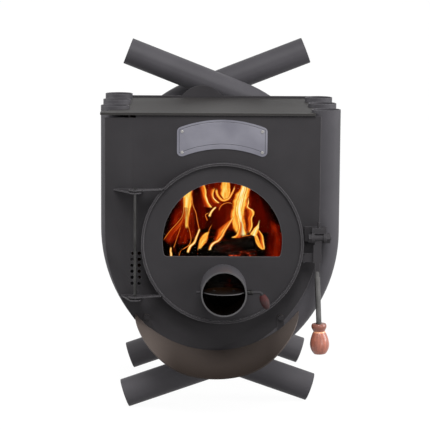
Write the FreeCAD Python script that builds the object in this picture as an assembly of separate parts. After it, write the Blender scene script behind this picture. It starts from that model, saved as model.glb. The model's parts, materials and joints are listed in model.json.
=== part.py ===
import FreeCAD, Part
import math
import os

# Workshop stove: a round-bellied steel firebox held by eight bent air tubes.
# Millimetres, +Z up, the door faces -Y and +X is the viewer's right.
# The origin is on the floor, in the middle of the width and depth.

# Air tubes: odd ones stand on the right and lean left below, even ones the other way
tube_od = 60.0
tube_wall = 2.5
tube_gap = 2.0
tube_side_x = 219.0
tube_bend_radius = 280.0
tube_top_rise = 6.0
tube_top_step = 1.1
leg_slope = 19.3
leg_end_x = 196.5
stub_end_x = 60.0
horn_slope = 21.3
horn_end_x = 201.0
horn_rise = 101.7
horn_bend_radius = 260.0

# Firebox sheets
sheet = 4.0
weld_gap = 0.3
front_set_back = 2.0
front_cover = 18.0
rear_cover = 15.0
top_above_door = 100.0
top_sheet = 5.0
top_overhang = 5.0
top_side_cover = 12.0
top_corner_gap = 24.0
top_corner_inset = 2.5
slit_height = 5.5
slit_length = 64.0
upstand_height = 4.5
upstand_tab_x = -35.0
upstand_tab_width = 88.0
upstand_tab_height = 23.0
baffle_below_flue = 9.0
baffle_front_gap = 134.0
baffle_edge_gap = 1.0
baffle_support = 20.0
baffle_support_wall = 3.0

# Air holes beside the hinge
air_hole_d = 7.5
air_hole_rows = 6
air_hole_pitch = 12.6
air_hole_spacing = 14.6
air_hole_drop = 57.0

# Round door
door_x = 5.4
door_z = 356.0
door_radius = 167.0
door_rim_wall = 5.0
door_rim_lip = 7.0
door_sheet = 5.0
neck_wall = 4.0
neck_clearance = 4.0
neck_reach = 18.0
gasket_thickness = 4.0
gasket_width = 7.0
seal_gap = 0.2
rim_gap = 0.8

# Window in the upper half of the door
window_margin = 40.0
window_rise = 4.0
window_drop = 31.0
window_corner = 6.0
glass_overlap = 4.5
glass_thickness = 4.0
glass_gasket_thickness = 1.5
glass_gasket_width = 3.5
clip_width = 20.0
clip_thickness = 2.0
clip_grip = 3.5
clip_foot = 12.0
clip_gap = 0.3
clip_bottom_x = 70.0
clip_side_rise = 28.0
clip_screw_d = 5.0
clip_head_d = 8.5
clip_head_height = 3.0
clip_screw_reach = 3.5

# Air inlet pipe with its throttle flap
pipe_side = 2.5
pipe_od = 93.0
pipe_wall = 3.0
pipe_rise = 76.7
pipe_reach = 86.0
flap_forward = 64.0
flap_clearance = 1.5
flap_thickness = 2.0
flap_spindle_d = 6.0
flap_flat_height = 1.0
flap_stub = 9.0
flap_arm_reach = 71.0
flap_arm_turn = 68.0
flap_arm_bend = 7.0
flap_arm_end = 1.0
flap_knob_d = 18.0
flap_knob_length = 30.0
flap_knob_grip = 8.0
flap_screw_spacing = 40.0
flap_screw_d = 3.0
flap_screw_head_d = 6.0
flap_screw_head_height = 2.5
spring_d = 11.0
spring_turns = 5
spring_pitch = 2.6

# Door hinge on the left
hinge_pin_d = 5.5
hinge_pin_head_d = 9.0
hinge_pin_head = 2.0
hinge_side_gap = 12.0
hinge_forward = 12.8
hinge_upper_rise = 111.7
hinge_lower_drop = 110.0
hinge_plate = 3.0
hinge_collar_d = 10.0
hinge_collar = 2.5
hinge_boss_radius = 13.0
hinge_upper_tip = 46.0
hinge_lower_tip = 30.0
hinge_inner_foot = 16.0
hinge_play = 0.5
hinge_leaf_width = 11.0
running_fit = 0.08
press_gap = 0.02

# Latch on the right
latch_side_gap = 31.1
latch_rise = 13.3
latch_bolt_d = 8.0
latch_hub_d = 14.0
latch_hub_length = 18.0
latch_side_play = 0.5
latch_lug = 5.5
latch_lug_radius = 10.5
latch_lug_rise = 20.0
latch_lug_drop = 10.5
latch_base_left = 28.0
latch_base_right = 17.0
latch_base = 6.0
latch_stop_gap = 2.0
latch_stop_pin_d = 6.0
latch_stop_pin_height = 12.0
latch_head_d = 17.0
latch_head_height = 6.5
latch_nut_d = 19.0
latch_nut_height = 8.0
lever_side_step = 0.5
lever_neck_drop = 14.0
lever_left_reach = 11.0
lever_right_reach = 5.0
lever_rod_side = 2.8
lever_lean = 2.7
lever_thickness = 9.0
lever_wide_drop = 51.0
lever_narrow_width = 10.0
lever_narrow_drop = 80.0
lever_rod_d = 11.0
lever_rod_drop = 178.7
lever_gap = 0.7
handle_length = 63.0
handle_d = 40.0
handle_collar_d = 31.5
handle_neck_d = 23.5
handle_base_d = 24.0
handle_socket = 34.0
tongue_height = 18.0
tongue_thickness = 6.0
tongue_drop = 28.5
tongue_overlap = 2.0

# Ash lip under the door
lip_x = -8.0
lip_door_gap = 55.0
lip_sheet = 3.0
lip_slope = 14.7
lip_reach = 121.0
lip_side_inset = 56.0
lip_right_extra = 7.0
lip_corner = 112.0
lip_tab_width = 14.0
lip_screw_up = 62.0
lip_left_rise = 16.0
lip_right_rise = 10.6
lip_screw_clearance = 0.4
lip_screw_d = 6.0
lip_screw_head_d = 10.0
lip_screw_head_height = 4.0

# Plain name plate
badge_x = 4.0
badge_width = 186.0
badge_height = 63.0
badge_top_drop = 32.2
badge_top_arch = 18.2
badge_bottom_arch = 21.1
badge_corner = 10.0
badge_sheet = 1.5
rivet_inset_x = 10.5
rivet_top_inset = 6.3
rivet_low_inset = 13.7
rivet_d = 3.2
rivet_head_d = 6.4
rivet_head_height = 1.6

# Flue outlet at the back with its damper
flue_od = 120.0
flue_wall = 2.0
flue_clearance = 13.7
flue_reach = 175.0
spigot_step = 1.0
spigot_length = 50.0
damper_set_back = 62.0
damper_clearance = 1.5
damper_thickness = 2.0
damper_vent_d = 30.0
damper_spindle_d = 8.0
damper_flat_height = 1.0
damper_stub = 6.0
damper_arm = 46.0
damper_knob_d = 26.0
damper_knob_length = 32.0
damper_knob_grip = 12.0
damper_screw_spacing = 70.0
damper_screw_d = 4.0
damper_screw_head_d = 8.0
damper_screw_head_height = 2.5
screw_gap = 0.05

# Sizes that follow from the ones above
tube_r = tube_od / 2
tube_pitch = tube_od + tube_gap
slope = math.radians(leg_slope)
horn = math.radians(horn_slope)
leg_end_z = tube_r * math.cos(slope)
bend_x = tube_side_x - tube_bend_radius
bend_z = leg_end_z + (leg_end_x + tube_side_x) * math.tan(slope)
bend_z += tube_bend_radius * math.tan((math.pi / 2 - slope) / 2)
shell_offset = -(tube_r + weld_gap)
shell_inner_x = tube_side_x + shell_offset - sheet
top_z = door_z + door_radius + top_above_door
top_bottom = top_z - top_sheet
tube_top = [top_z + tube_top_rise + index * tube_top_step for index in range(6)]
horn_end_z = top_z + horn_rise
flue_r = flue_od / 2
flue_z = horn_end_z - horn_end_x * math.tan(horn) - (tube_r + flue_r + flue_clearance) / math.cos(horn)
baffle_z = flue_z - flue_r - baffle_below_flue

# Places along the depth, first counted from the first tube, then moved so that the stove is centred
front_face = -(tube_r - front_set_back)
rear_face = 5 * tube_pitch + tube_r + weld_gap
flue_end = rear_face + sheet + flue_reach
door_forward = neck_reach + seal_gap + gasket_thickness + door_sheet
flap_radius = pipe_od / 2 - pipe_wall - flap_clearance
front_reach = max(lip_reach, door_forward + flap_forward + flap_radius)
y_first = -(front_face - front_reach + flue_end) / 2
front_face += y_first
front_back = front_face + sheet
rear_face += y_first
rear_back = rear_face + sheet
flue_end += y_first
tube_y = [y_first + index * tube_pitch for index in range(6)]
tube_y.append(rear_back + weld_gap + tube_r)
tube_y.append(tube_y[6] + tube_od + weld_gap)
neck_front = front_face - neck_reach
door_front = front_face - door_forward
door_back = door_front + door_sheet
rim_front = door_front - door_rim_lip
rim_back = neck_front - rim_gap
neck_radius = door_radius - door_rim_wall - neck_clearance - neck_wall
hinge_x = door_x - door_radius - hinge_side_gap
latch_x = door_x + door_radius + latch_side_gap
hinge_y = rim_front - hinge_forward
tongue_y = (rim_front + rim_back) / 2
lever_back = tongue_y - tongue_thickness / 2 - lever_gap
bolt_y = lever_back - lever_thickness / 2
bolt_z = door_z + latch_rise
lever_end_z = bolt_z - lever_rod_drop
window_z = door_z + window_rise
window_radius = door_radius - window_rise - window_margin
window_bottom = window_z - window_drop
pipe_x = door_x + pipe_side
pipe_z = door_z - door_radius + pipe_rise
pipe_front = door_front - pipe_reach
flap_y = door_front - flap_forward
damper_y = rear_back + damper_set_back
lip_radius = door_radius + lip_door_gap
lip_half_width = lip_radius - lip_side_inset
lip_screw_drop = lip_radius - lip_screw_up


# Small helpers
def vec(x, y, z):
    return FreeCAD.Vector(x, y, z)


def box(x0, x1, y0, y1, z0, z1):
    return Part.makeBox(x1 - x0, y1 - y0, z1 - z0, vec(x0, y0, z0))


def rod_x(x0, x1, y, z, radius):
    return Part.makeCylinder(radius, x1 - x0, vec(x0, y, z), vec(1, 0, 0))


def rod_y(y0, y1, x, z, radius):
    return Part.makeCylinder(radius, y1 - y0, vec(x, y0, z), vec(0, 1, 0))


def rod_z(z0, z1, x, y, radius):
    return Part.makeCylinder(radius, z1 - z0, vec(x, y, z0), vec(0, 0, 1))


def ring_y(y0, y1, x, z, outer, inner):
    return rod_y(y0, y1, x, z, outer).cut(rod_y(y0, y1, x, z, inner))


def line(a, b):
    return Part.LineSegment(a, b).toShape()


def arc_xz(x, z, radius, start, end, y):
    # An arc in an upright plane, with angles in radians counted from +X towards +Z
    points = []
    for angle in (start, (start + end) / 2, end):
        points.append(vec(x + radius * math.cos(angle), y, z + radius * math.sin(angle)))
    return Part.Arc(*points).toShape()


def ends(edge):
    return edge.valueAt(edge.FirstParameter), edge.valueAt(edge.LastParameter)


def prism_y(edges, depth):
    return Part.Face(Part.Wire(edges)).extrude(vec(0, depth, 0))


def polygon_prism(points, direction):
    return Part.Face(Part.makePolygon(points + points[:1])).extrude(direction)


def hex_x(x0, x1, y, z, across):
    radius = across / math.sqrt(3)
    corners = []
    for step in range(6):
        angle = math.radians(60 * step)
        corners.append(vec(x0, y + radius * math.cos(angle), z + radius * math.sin(angle)))
    return polygon_prism(corners, vec(x1 - x0, 0, 0))


def hex_y(y0, y1, x, z, across):
    radius = across / math.sqrt(3)
    corners = []
    for step in range(6):
        angle = math.radians(60 * step + 30)
        corners.append(vec(x + radius * math.cos(angle), y0, z + radius * math.sin(angle)))
    return polygon_prism(corners, vec(0, y1 - y0, 0))


def sweep(edges, radius):
    start, after = ends(edges[0])
    circle = Part.Circle(start, after - start, radius).toShape()
    return Part.Wire(edges).makePipeShell([Part.Wire([circle])], True, False)


def joined(shapes):
    whole = shapes[0].fuse(shapes[1:]) if len(shapes) > 1 else shapes[0]
    return whole.removeSplitter()


nodes = {}


def add(name, shape):
    nodes[name] = shape


# Paths of the tubes, drawn for the right side and mirrored for the left
def leg_edges(start_x, y):
    start_z = leg_end_z + (leg_end_x - start_x) * math.tan(slope)
    bend = arc_xz(bend_x, bend_z, tube_bend_radius, slope - math.pi / 2, 0, y)
    return [line(vec(-start_x, y, start_z), ends(bend)[0]), bend]


def straight_edges(y, high):
    return [line(vec(tube_side_x, y, bend_z), vec(tube_side_x, y, high))]


def horn_edges(y):
    corner_z = horn_end_z - (horn_end_x + tube_side_x) * math.tan(horn)
    turn = math.pi / 2 - horn
    bend_start = corner_z - horn_bend_radius * math.tan(turn / 2)
    bend = arc_xz(tube_side_x - horn_bend_radius, bend_start, horn_bend_radius, 0, turn, y)
    rise = line(vec(tube_side_x, y, bend_z), vec(tube_side_x, y, bend_start))
    return [rise, bend, line(ends(bend)[1], vec(-horn_end_x, y, horn_end_z))]


def tube_path(number):
    y = tube_y[number - 1]
    lower = leg_edges(leg_end_x if number in (1, 2, 7, 8) else stub_end_x, y)
    upper = horn_edges(y) if number in (7, 8) else straight_edges(y, tube_top[number - 1])
    return lower + upper


def tube_solid(number, radius):
    solid = sweep(tube_path(number), radius)
    if number % 2 == 0:
        solid = solid.mirror(vec(0, 0, 0), vec(1, 0, 0))
    return solid


for number in range(1, 9):
    add("air_tube_%d" % number, tube_solid(number, tube_r).cut(tube_solid(number, tube_r - tube_wall)))

first_tube_room = tube_solid(1, tube_r + weld_gap)


# Belly outline, offset from the line of the tube centres
def belly(offset, top, y):
    radius = tube_bend_radius + offset
    side = tube_side_x + offset
    low = -math.acos(-bend_x / radius)
    right = arc_xz(bend_x, bend_z, radius, 0, low, y)
    left = arc_xz(-bend_x, bend_z, radius, -math.pi - low, -math.pi, y)
    top_left = vec(-side, y, top)
    top_right = vec(side, y, top)
    down = line(top_right, ends(right)[0])
    up = line(ends(left)[1], top_left)
    return [line(top_left, top_right), down, right, left, up]


# Firebox shell: one bent sheet that lies against the inside of all the tubes
shell_depth = rear_face - front_back
shell_outer = prism_y(belly(shell_offset, top_bottom - weld_gap, front_back), shell_depth)
shell_inner = prism_y(belly(shell_offset - sheet, top_z, front_back), shell_depth)
add("firebox_shell", shell_outer.cut(shell_inner))


# Front plate: reaches over the left tubes and meets the side of the first tube
def front_outline(top, y):
    leg, bend = leg_edges(leg_end_x, y)
    foot, knee = ends(leg)
    radius = tube_bend_radius + front_cover
    along = (foot - knee).normalize()
    from_centre = knee - vec(-bend_x, y, bend_z)
    half = from_centre.dot(along)
    reach = -half + math.sqrt(half * half - from_centre.Length ** 2 + radius * radius)
    low = knee + along * reach
    angle = math.atan2(low.z - bend_z, low.x + bend_x)
    left = arc_xz(-bend_x, bend_z, radius, angle, -math.pi, y)
    top_left = vec(-tube_side_x - front_cover, y, top)
    top_right = vec(tube_side_x, y, top)
    right = line(top_right, ends(bend)[1])
    return [line(top_left, top_right), right, bend, line(knee, low), left, line(ends(left)[1], top_left)]


front = prism_y(front_outline(top_bottom - weld_gap, front_face), sheet)
front = front.cut(first_tube_room)
front = front.cut(rod_y(front_face, front_back, door_x, door_z, neck_radius + neck_wall))
slit_x = -tube_side_x - front_cover
slit_z = top_bottom - weld_gap
slit_end = slit_x + slit_length
front = front.cut(box(slit_x, slit_end, front_face, front_back, slit_z - slit_height, slit_z))
for column in (-0.5, 0.5):
    for row in range(air_hole_rows):
        hole_x = hinge_x + column * air_hole_spacing
        hole_z = door_z - air_hole_drop + (row - (air_hole_rows - 1) / 2) * air_hole_pitch
        front = front.cut(rod_y(front_face, front_back, hole_x, hole_z, air_hole_d / 2))

# Rear plate: stands between the sixth and the seventh tube, with a rounded tab on its upper edge
rear_top = top_z + upstand_height
rear = prism_y(belly(rear_cover, rear_top, rear_face), sheet)
tab_radius = (upstand_tab_width ** 2 / 4 + upstand_tab_height ** 2) / (2 * upstand_tab_height)
tab_angle = math.asin(upstand_tab_width / 2 / tab_radius)
tab_centre_z = rear_top + upstand_tab_height - tab_radius
tab_start = math.pi / 2 - tab_angle
tab_arc = arc_xz(upstand_tab_x, tab_centre_z, tab_radius, tab_start, math.pi - tab_start, rear_face)
tab_right, tab_left = ends(tab_arc)
tab_depth = vec(0, 0, -upstand_height)
tab_foot = [line(tab_left, tab_left + tab_depth), line(tab_left + tab_depth, tab_right + tab_depth)]
tab_foot.append(line(tab_right + tab_depth, tab_right))
rear = joined([rear, prism_y([tab_arc] + tab_foot, sheet)])
rear = rear.cut(rod_y(rear_face, rear_back, 0, flue_z, flue_od / 2))
add("rear_plate", rear)

# Top plate: the six straight tubes pass through notches in its sides
top_front = front_face - top_overhang
top_half = tube_side_x + top_side_cover
top_rear = rear_face - weld_gap
corner_x = tube_side_x - top_corner_gap
top = joined([
    box(-top_half, top_half, tube_y[0], top_rear, top_bottom, top_z),
    box(-tube_side_x - tube_r + top_corner_inset, corner_x, top_front, tube_y[0], top_bottom, top_z),
])
for number in range(1, 7):
    side = 1 if number % 2 else -1
    notch = rod_z(top_bottom, top_z, side * tube_side_x, tube_y[number - 1], tube_r + weld_gap)
    top = top.cut(notch)
top = top.cut(box(-top_half, -tube_side_x, tube_y[5], top_rear, top_bottom, top_z))
add("top_plate", top)

# Baffle over the fire, carried by two angle bars on the shell
baffle_half = shell_inner_x - baffle_edge_gap
baffle_front = front_back + baffle_front_gap
baffle_rear = rear_face - baffle_edge_gap
add("baffle_plate", box(-baffle_half, baffle_half, baffle_front, baffle_rear, baffle_z, baffle_z + sheet))
supports = []
for side in (-1, 1):
    outer = side * (shell_inner_x - press_gap)
    inner = outer - side * baffle_support
    wall = outer - side * baffle_support_wall
    low = baffle_z - baffle_support
    under = baffle_z - baffle_support_wall
    shelf = box(min(outer, inner), max(outer, inner), baffle_front, baffle_rear, under, baffle_z)
    web = box(min(outer, wall), max(outer, wall), baffle_front, baffle_rear, low, baffle_z)
    supports.append(joined([shelf, web]))
add("baffle_supports", Part.makeCompound(supports))

# Door neck and the pan-shaped door
add("door_neck", ring_y(neck_front, front_back, door_x, door_z, neck_radius + neck_wall, neck_radius))


def half_round(radius, bottom, y, depth, corner):
    # A disc with its lower part cut off level and its two corners rounded
    disc = rod_y(y, y + depth, door_x, window_z, radius)
    keep = box(door_x - 2 * radius, door_x + 2 * radius, y, y + depth, bottom, window_z + 2 * radius)
    shape = disc.common(keep)
    corners = []
    for edge in shape.Edges:
        a, b = edge.Vertexes[0].Point, edge.Vertexes[-1].Point
        upright = abs(a.x - b.x) < 0.01 and abs(a.z - b.z) < 0.01 and abs(a.y - b.y) > 0.01
        if upright and abs(a.z - bottom) < 0.01 and abs(a.x - door_x) > corner:
            corners.append(edge)
    return shape.makeFillet(corner, corners)


rim = ring_y(rim_front, rim_back, door_x, door_z, door_radius, door_radius - door_rim_wall)
disc = rod_y(door_front, door_back, door_x, door_z, door_radius - door_rim_wall / 2)
pan = joined([rim, disc])
pan = pan.cut(half_round(window_radius, window_bottom, door_front, door_sheet, window_corner))
pan = pan.cut(rod_y(door_front, door_back, pipe_x, pipe_z, pipe_od / 2))

gasket_inner = neck_radius + neck_wall / 2 - gasket_width / 2
gasket_outer = gasket_inner + gasket_width
gasket_front = door_back + gasket_thickness
add("door_gasket", ring_y(door_back, gasket_front, door_x, door_z, gasket_outer, gasket_inner))

# Glass behind the window, with its sealing strip, clips and screws
glass_front = door_back + glass_gasket_thickness
glass_back = glass_front + glass_thickness
glass_radius = window_radius + glass_overlap
glass_bottom = window_bottom - glass_overlap
glass_corner = window_corner + glass_overlap
add("door_glass", half_round(glass_radius, glass_bottom, glass_front, glass_thickness, glass_corner))
strip_outer = half_round(glass_radius, glass_bottom, door_back, glass_gasket_thickness, glass_corner)
strip_radius = glass_radius - glass_gasket_width
strip_bottom = glass_bottom + glass_gasket_width
strip_corner = glass_corner - glass_gasket_width
strip_inner = half_round(strip_radius, strip_bottom, door_back, glass_gasket_thickness, strip_corner)
add("glass_gasket", strip_outer.cut(strip_inner))

clips = []
clip_screws = []
clip_front = glass_back + clip_gap
clip_back = clip_front + clip_thickness
screw_tip = door_back - clip_screw_reach
side_x = math.sqrt(glass_radius ** 2 - (clip_side_rise + clip_width / 2) ** 2)
glass_side_x = math.sqrt(glass_radius ** 2 - (clip_side_rise - clip_width / 2) ** 2)
clip_side_z = window_z + clip_side_rise
clip_places = [(door_x - clip_bottom_x, glass_bottom, 0), (door_x + clip_bottom_x, glass_bottom, 0)]
clip_places += [(door_x - glass_side_x, clip_side_z, -1), (door_x + glass_side_x, clip_side_z, 1)]
for x, z, side in clip_places:
    half = clip_width / 2
    if side:
        inner = x - side * (clip_grip + glass_side_x - side_x)
        foot = x + side * clip_gap
        outer = foot + side * clip_foot
        plate = box(min(inner, outer), max(inner, outer), clip_front, clip_back, z - half, z + half)
        block = box(min(foot, outer), max(foot, outer), door_back, clip_back, z - half, z + half)
        screw_x, screw_z = (foot + outer) / 2, z
    else:
        foot = z - clip_gap
        plate = box(x - half, x + half, clip_front, clip_back, foot - clip_foot, z + clip_grip)
        block = box(x - half, x + half, door_back, clip_back, foot - clip_foot, foot)
        screw_x, screw_z = x, foot - clip_foot / 2
    clip = joined([plate, block])
    clips.append(clip.cut(rod_y(door_back, clip_back, screw_x, screw_z, clip_screw_d / 2 + screw_gap)))
    shank = rod_y(screw_tip, clip_back, screw_x, screw_z, clip_screw_d / 2)
    head = rod_y(clip_back, clip_back + clip_head_height, screw_x, screw_z, clip_head_d / 2)
    clip_screws.append(joined([shank, head]))
    pan = pan.cut(rod_y(screw_tip - screw_gap, door_back, screw_x, screw_z, clip_screw_d / 2 + screw_gap))
add("glass_clips", Part.makeCompound(clips))
add("glass_screws", Part.makeCompound(clip_screws))
add("door_pan", pan)

# Air inlet pipe in the lower half of the door
pipe = ring_y(pipe_front, door_back, pipe_x, pipe_z, pipe_od / 2, pipe_od / 2 - pipe_wall)
pipe = pipe.cut(rod_x(pipe_x - pipe_od, pipe_x + pipe_od, flap_y, pipe_z, flap_spindle_d / 2 + running_fit))
add("air_inlet_pipe", pipe)

# Throttle flap, shown open: a disc on the flat of a cranked spindle
flap_low = pipe_z + flap_flat_height
flap_high = flap_low + flap_thickness
spindle_left = pipe_x - pipe_od / 2 - flap_stub
arm_x = pipe_x + flap_arm_reach
arm_turn = math.radians(flap_arm_turn)
arm_bend = arc_xz(arm_x, pipe_z - flap_arm_bend, flap_arm_bend, math.pi / 2, math.pi / 2 - arm_turn, flap_y)
arm_along = vec(math.cos(arm_turn), 0, -math.sin(arm_turn))
arm_tip = ends(arm_bend)[1] + arm_along * flap_arm_end
arm_end = arm_tip + arm_along * flap_knob_grip
spindle_start = line(vec(spindle_left, flap_y, pipe_z), ends(arm_bend)[0])
spindle = sweep([spindle_start, arm_bend, line(ends(arm_bend)[1], arm_end)], flap_spindle_d / 2)
flat_half = flap_radius + flap_clearance / 2
flat_reach = flap_spindle_d
spindle = spindle.cut(box(pipe_x - flat_half, pipe_x + flat_half, flap_y - flat_reach, flap_y + flat_reach,
                          flap_low, flap_low + flat_reach))
flap = rod_z(flap_low, flap_high, pipe_x, flap_y, flap_radius)
flap_screws = []
for place in (-0.5, 0.5):
    screw_x = pipe_x + place * flap_screw_spacing
    bottom = pipe_z - flap_spindle_d / 2
    hole = rod_z(bottom, flap_high, screw_x, flap_y, flap_screw_d / 2 + screw_gap)
    flap = flap.cut(hole)
    spindle = spindle.cut(hole)
    shank = rod_z(bottom, flap_high, screw_x, flap_y, flap_screw_d / 2)
    head = rod_z(flap_high, flap_high + flap_screw_head_height, screw_x, flap_y, flap_screw_head_d / 2)
    flap_screws.append(joined([shank, head]))
add("flap_disc", flap)
add("flap_spindle", spindle)
add("flap_screws", Part.makeCompound(flap_screws))

# Close-wound spring that holds the flap by friction
spring_start = pipe_x + pipe_od / 2 + weld_gap
wire_r = spring_pitch / 2
turns = []
for turn in range(spring_turns):
    middle = vec(spring_start + wire_r + turn * spring_pitch, flap_y, pipe_z)
    turns.append(Part.makeTorus(spring_d / 2 - wire_r, wire_r * 1.08, middle, vec(1, 0, 0)))
spring_end = spring_start + spring_turns * spring_pitch
sleeve_outer = rod_x(spring_start, spring_end, flap_y, pipe_z, spring_d / 2 - wire_r)
coil = joined([sleeve_outer] + turns)
coil = coil.common(rod_x(spring_start, spring_end, flap_y, pipe_z, spring_d))
coil_bore = flap_spindle_d / 2 + running_fit
add("flap_spring", coil.cut(rod_x(spring_start, spring_end, flap_y, pipe_z, coil_bore)))


def turned(profile, start, axis):
    # A solid turned from lines and arcs of (radius, depth), with its near end at start and going along axis
    edges = []
    for item in profile:
        corners = [vec(radius, 0, -depth) for radius, depth in item]
        edges.append(Part.Arc(*corners).toShape() if len(item) == 3 else line(*corners))
    solid = Part.Face(Part.Wire(edges)).revolve(vec(0, 0, 0), vec(0, 0, 1), 360)
    solid.Placement = FreeCAD.Placement(start, FreeCAD.Rotation(vec(0, 0, -1), axis))
    return solid


def knob(diameter, length, bore, socket):
    # The profile of an oval turned knob with a blind socket in its near end
    near, far = diameter * 0.3, diameter * 0.22
    return [
        [(bore, 0), (near, 0)],
        [(near, 0), (diameter / 2, length * 0.5), (far, length)],
        [(far, length), (0, length)],
        [(0, length), (0, socket)],
        [(0, socket), (bore, socket)],
        [(bore, socket), (bore, 0)],
    ]


flap_profile = knob(flap_knob_d, flap_knob_length, flap_spindle_d / 2 + press_gap, flap_knob_grip + press_gap)
add("flap_knob", turned(flap_profile, arm_tip, arm_along))

# Hinge: brackets on the front plate, leaves on the door rim and the long pin through all four
upper_leaf_z = door_z + hinge_upper_rise
lower_leaf_z = door_z - hinge_lower_drop
bracket_drop = hinge_collar + hinge_play + hinge_plate
pin_low = lower_leaf_z - bracket_drop
pin_high = upper_leaf_z + hinge_plate + hinge_play
pin_hole = hinge_pin_d / 2 + running_fit


def hinge_bracket(z, tip):
    foot_y = front_face - press_gap
    corners = [vec(hinge_x - tip, foot_y, z), vec(hinge_x + hinge_inner_foot, foot_y, z)]
    corners += [vec(hinge_x + hinge_boss_radius, hinge_y, z), vec(hinge_x - hinge_boss_radius, hinge_y, z)]
    plate = polygon_prism(corners, vec(0, 0, hinge_plate))
    plate = joined([plate, rod_z(z, z + hinge_plate, hinge_x, hinge_y, hinge_boss_radius)])
    return plate.cut(rod_z(z, z + hinge_plate, hinge_x, hinge_y, hinge_pin_d / 2 + press_gap))


def hinge_leaf(z):
    middle = z + hinge_plate / 2 - door_z
    rim_x = door_x - math.sqrt(door_radius ** 2 - middle ** 2)
    back = rim_back - rim_gap
    front = back - hinge_leaf_width
    inside = rim_x + door_rim_wall * 4
    corners = [vec(hinge_x, hinge_y - hinge_boss_radius, z), vec(inside, front, z)]
    corners += [vec(inside, back, z), vec(hinge_x, hinge_y + hinge_boss_radius, z)]
    plate = polygon_prism(corners, vec(0, 0, hinge_plate))
    plate = joined([
        plate,
        rod_z(z, z + hinge_plate, hinge_x, hinge_y, hinge_boss_radius),
        rod_z(z - hinge_collar, z, hinge_x, hinge_y, hinge_collar_d / 2),
    ])
    plate = plate.cut(rod_y(front - door_radius, back + door_radius, door_x, door_z, door_radius + press_gap))
    return plate.cut(rod_z(z - hinge_collar, z + hinge_plate, hinge_x, hinge_y, pin_hole))


add("upper_hinge_bracket", hinge_bracket(upper_leaf_z - bracket_drop, hinge_upper_tip))
add("lower_hinge_bracket", hinge_bracket(pin_low, hinge_lower_tip))
add("upper_door_leaf", hinge_leaf(upper_leaf_z))
add("lower_door_leaf", hinge_leaf(lower_leaf_z))
pin = rod_z(pin_low, pin_high, hinge_x, hinge_y, hinge_pin_d / 2)
pin_head = rod_z(pin_high, pin_high + hinge_pin_head, hinge_x, hinge_y, hinge_pin_head_d / 2)
add("hinge_pin", joined([pin, pin_head]))

# Latch: a forked bracket, its bolt, and the lever that drops in front of the door's tongue
hub_left = latch_x - latch_hub_length / 2
hub_right = latch_x + latch_hub_length / 2
lug_left = hub_left - latch_side_play - latch_lug
lug_right = hub_right + latch_side_play + latch_lug
base_back = y_first - tube_r - weld_gap
base_front = base_back - latch_base
base_low = bolt_z - latch_lug_drop
base_high = bolt_z + latch_lug_rise
base_left = latch_x - latch_base_left
base_right = latch_x + latch_base_right
lugs = []
for x in (lug_left, lug_right - latch_lug):
    lug = box(x, x + latch_lug, bolt_y, base_front, base_low, bolt_z + latch_lug_radius)
    lugs.append(joined([lug, rod_x(x, x + latch_lug, bolt_y, bolt_z, latch_lug_radius)]))
stop_low = bolt_z + latch_hub_d / 2 + latch_stop_gap
stop_front = bolt_y - latch_hub_d / 4
stop_middle = (stop_front + base_front) / 2
stop = box(lug_left, lug_right, stop_front, base_front, stop_low, base_high)
stop_pin = rod_z(base_high, base_high + latch_stop_pin_height, latch_x, stop_middle, latch_stop_pin_d / 2)
base = box(base_left, base_right, base_front, base_back, base_low, base_high)
seat = box(base_left, latch_x, base_front, front_face - press_gap, base_low, base_high)
bracket = joined([base, seat, stop, stop_pin] + lugs)
bracket = bracket.cut(first_tube_room)
add("latch_bracket", bracket.cut(rod_x(lug_left, lug_right, bolt_y, bolt_z, latch_bolt_d / 2 + press_gap)))

nut_left = lug_right + press_gap
nut_right = nut_left + latch_nut_height
bolt_seat = lug_left - press_gap
bolt_end = nut_right + latch_bolt_d / 4
bolt_head = hex_x(bolt_seat - latch_head_height, bolt_seat, bolt_y, bolt_z, latch_head_d)
add("latch_pivot_bolt", joined([rod_x(bolt_seat, bolt_end, bolt_y, bolt_z, latch_bolt_d / 2), bolt_head]))
nut = hex_x(nut_left, nut_right, bolt_y, bolt_z, latch_nut_d)
add("latch_nut", nut.cut(rod_x(nut_left, nut_right, bolt_y, bolt_z, latch_bolt_d / 2 + press_gap)))

lever_front = lever_back - lever_thickness
neck_low = bolt_z - lever_neck_drop
wide_low = bolt_z - lever_wide_drop
narrow_low = bolt_z - lever_narrow_drop
neck_left = hub_left + lever_side_step
wide_left = latch_x - lever_left_reach
wide_right = latch_x + lever_right_reach
narrow_x = latch_x - lever_rod_side
narrow_half = lever_narrow_width / 2
lean = math.radians(lever_lean)
rod_along = vec(math.sin(lean), 0, -math.cos(lean))
rod_start = vec(narrow_x, bolt_y, narrow_low + lever_rod_d)
rod_run = (rod_start.z - lever_end_z) / math.cos(lean)
rod_end = rod_start + rod_along * rod_run
lever = joined([
    rod_x(hub_left, hub_right, bolt_y, bolt_z, latch_hub_d / 2),
    box(neck_left, wide_right, lever_front, lever_back, neck_low, bolt_z),
    box(wide_left, wide_right, lever_front, lever_back, wide_low, neck_low),
    box(narrow_x - narrow_half, narrow_x + narrow_half, lever_front, lever_back, narrow_low, wide_low),
    Part.makeCylinder(lever_rod_d / 2, rod_run + handle_socket, rod_start, rod_along),
])
add("latch_lever", lever.cut(rod_x(hub_left, hub_right, bolt_y, bolt_z, latch_bolt_d / 2 + running_fit)))

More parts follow.
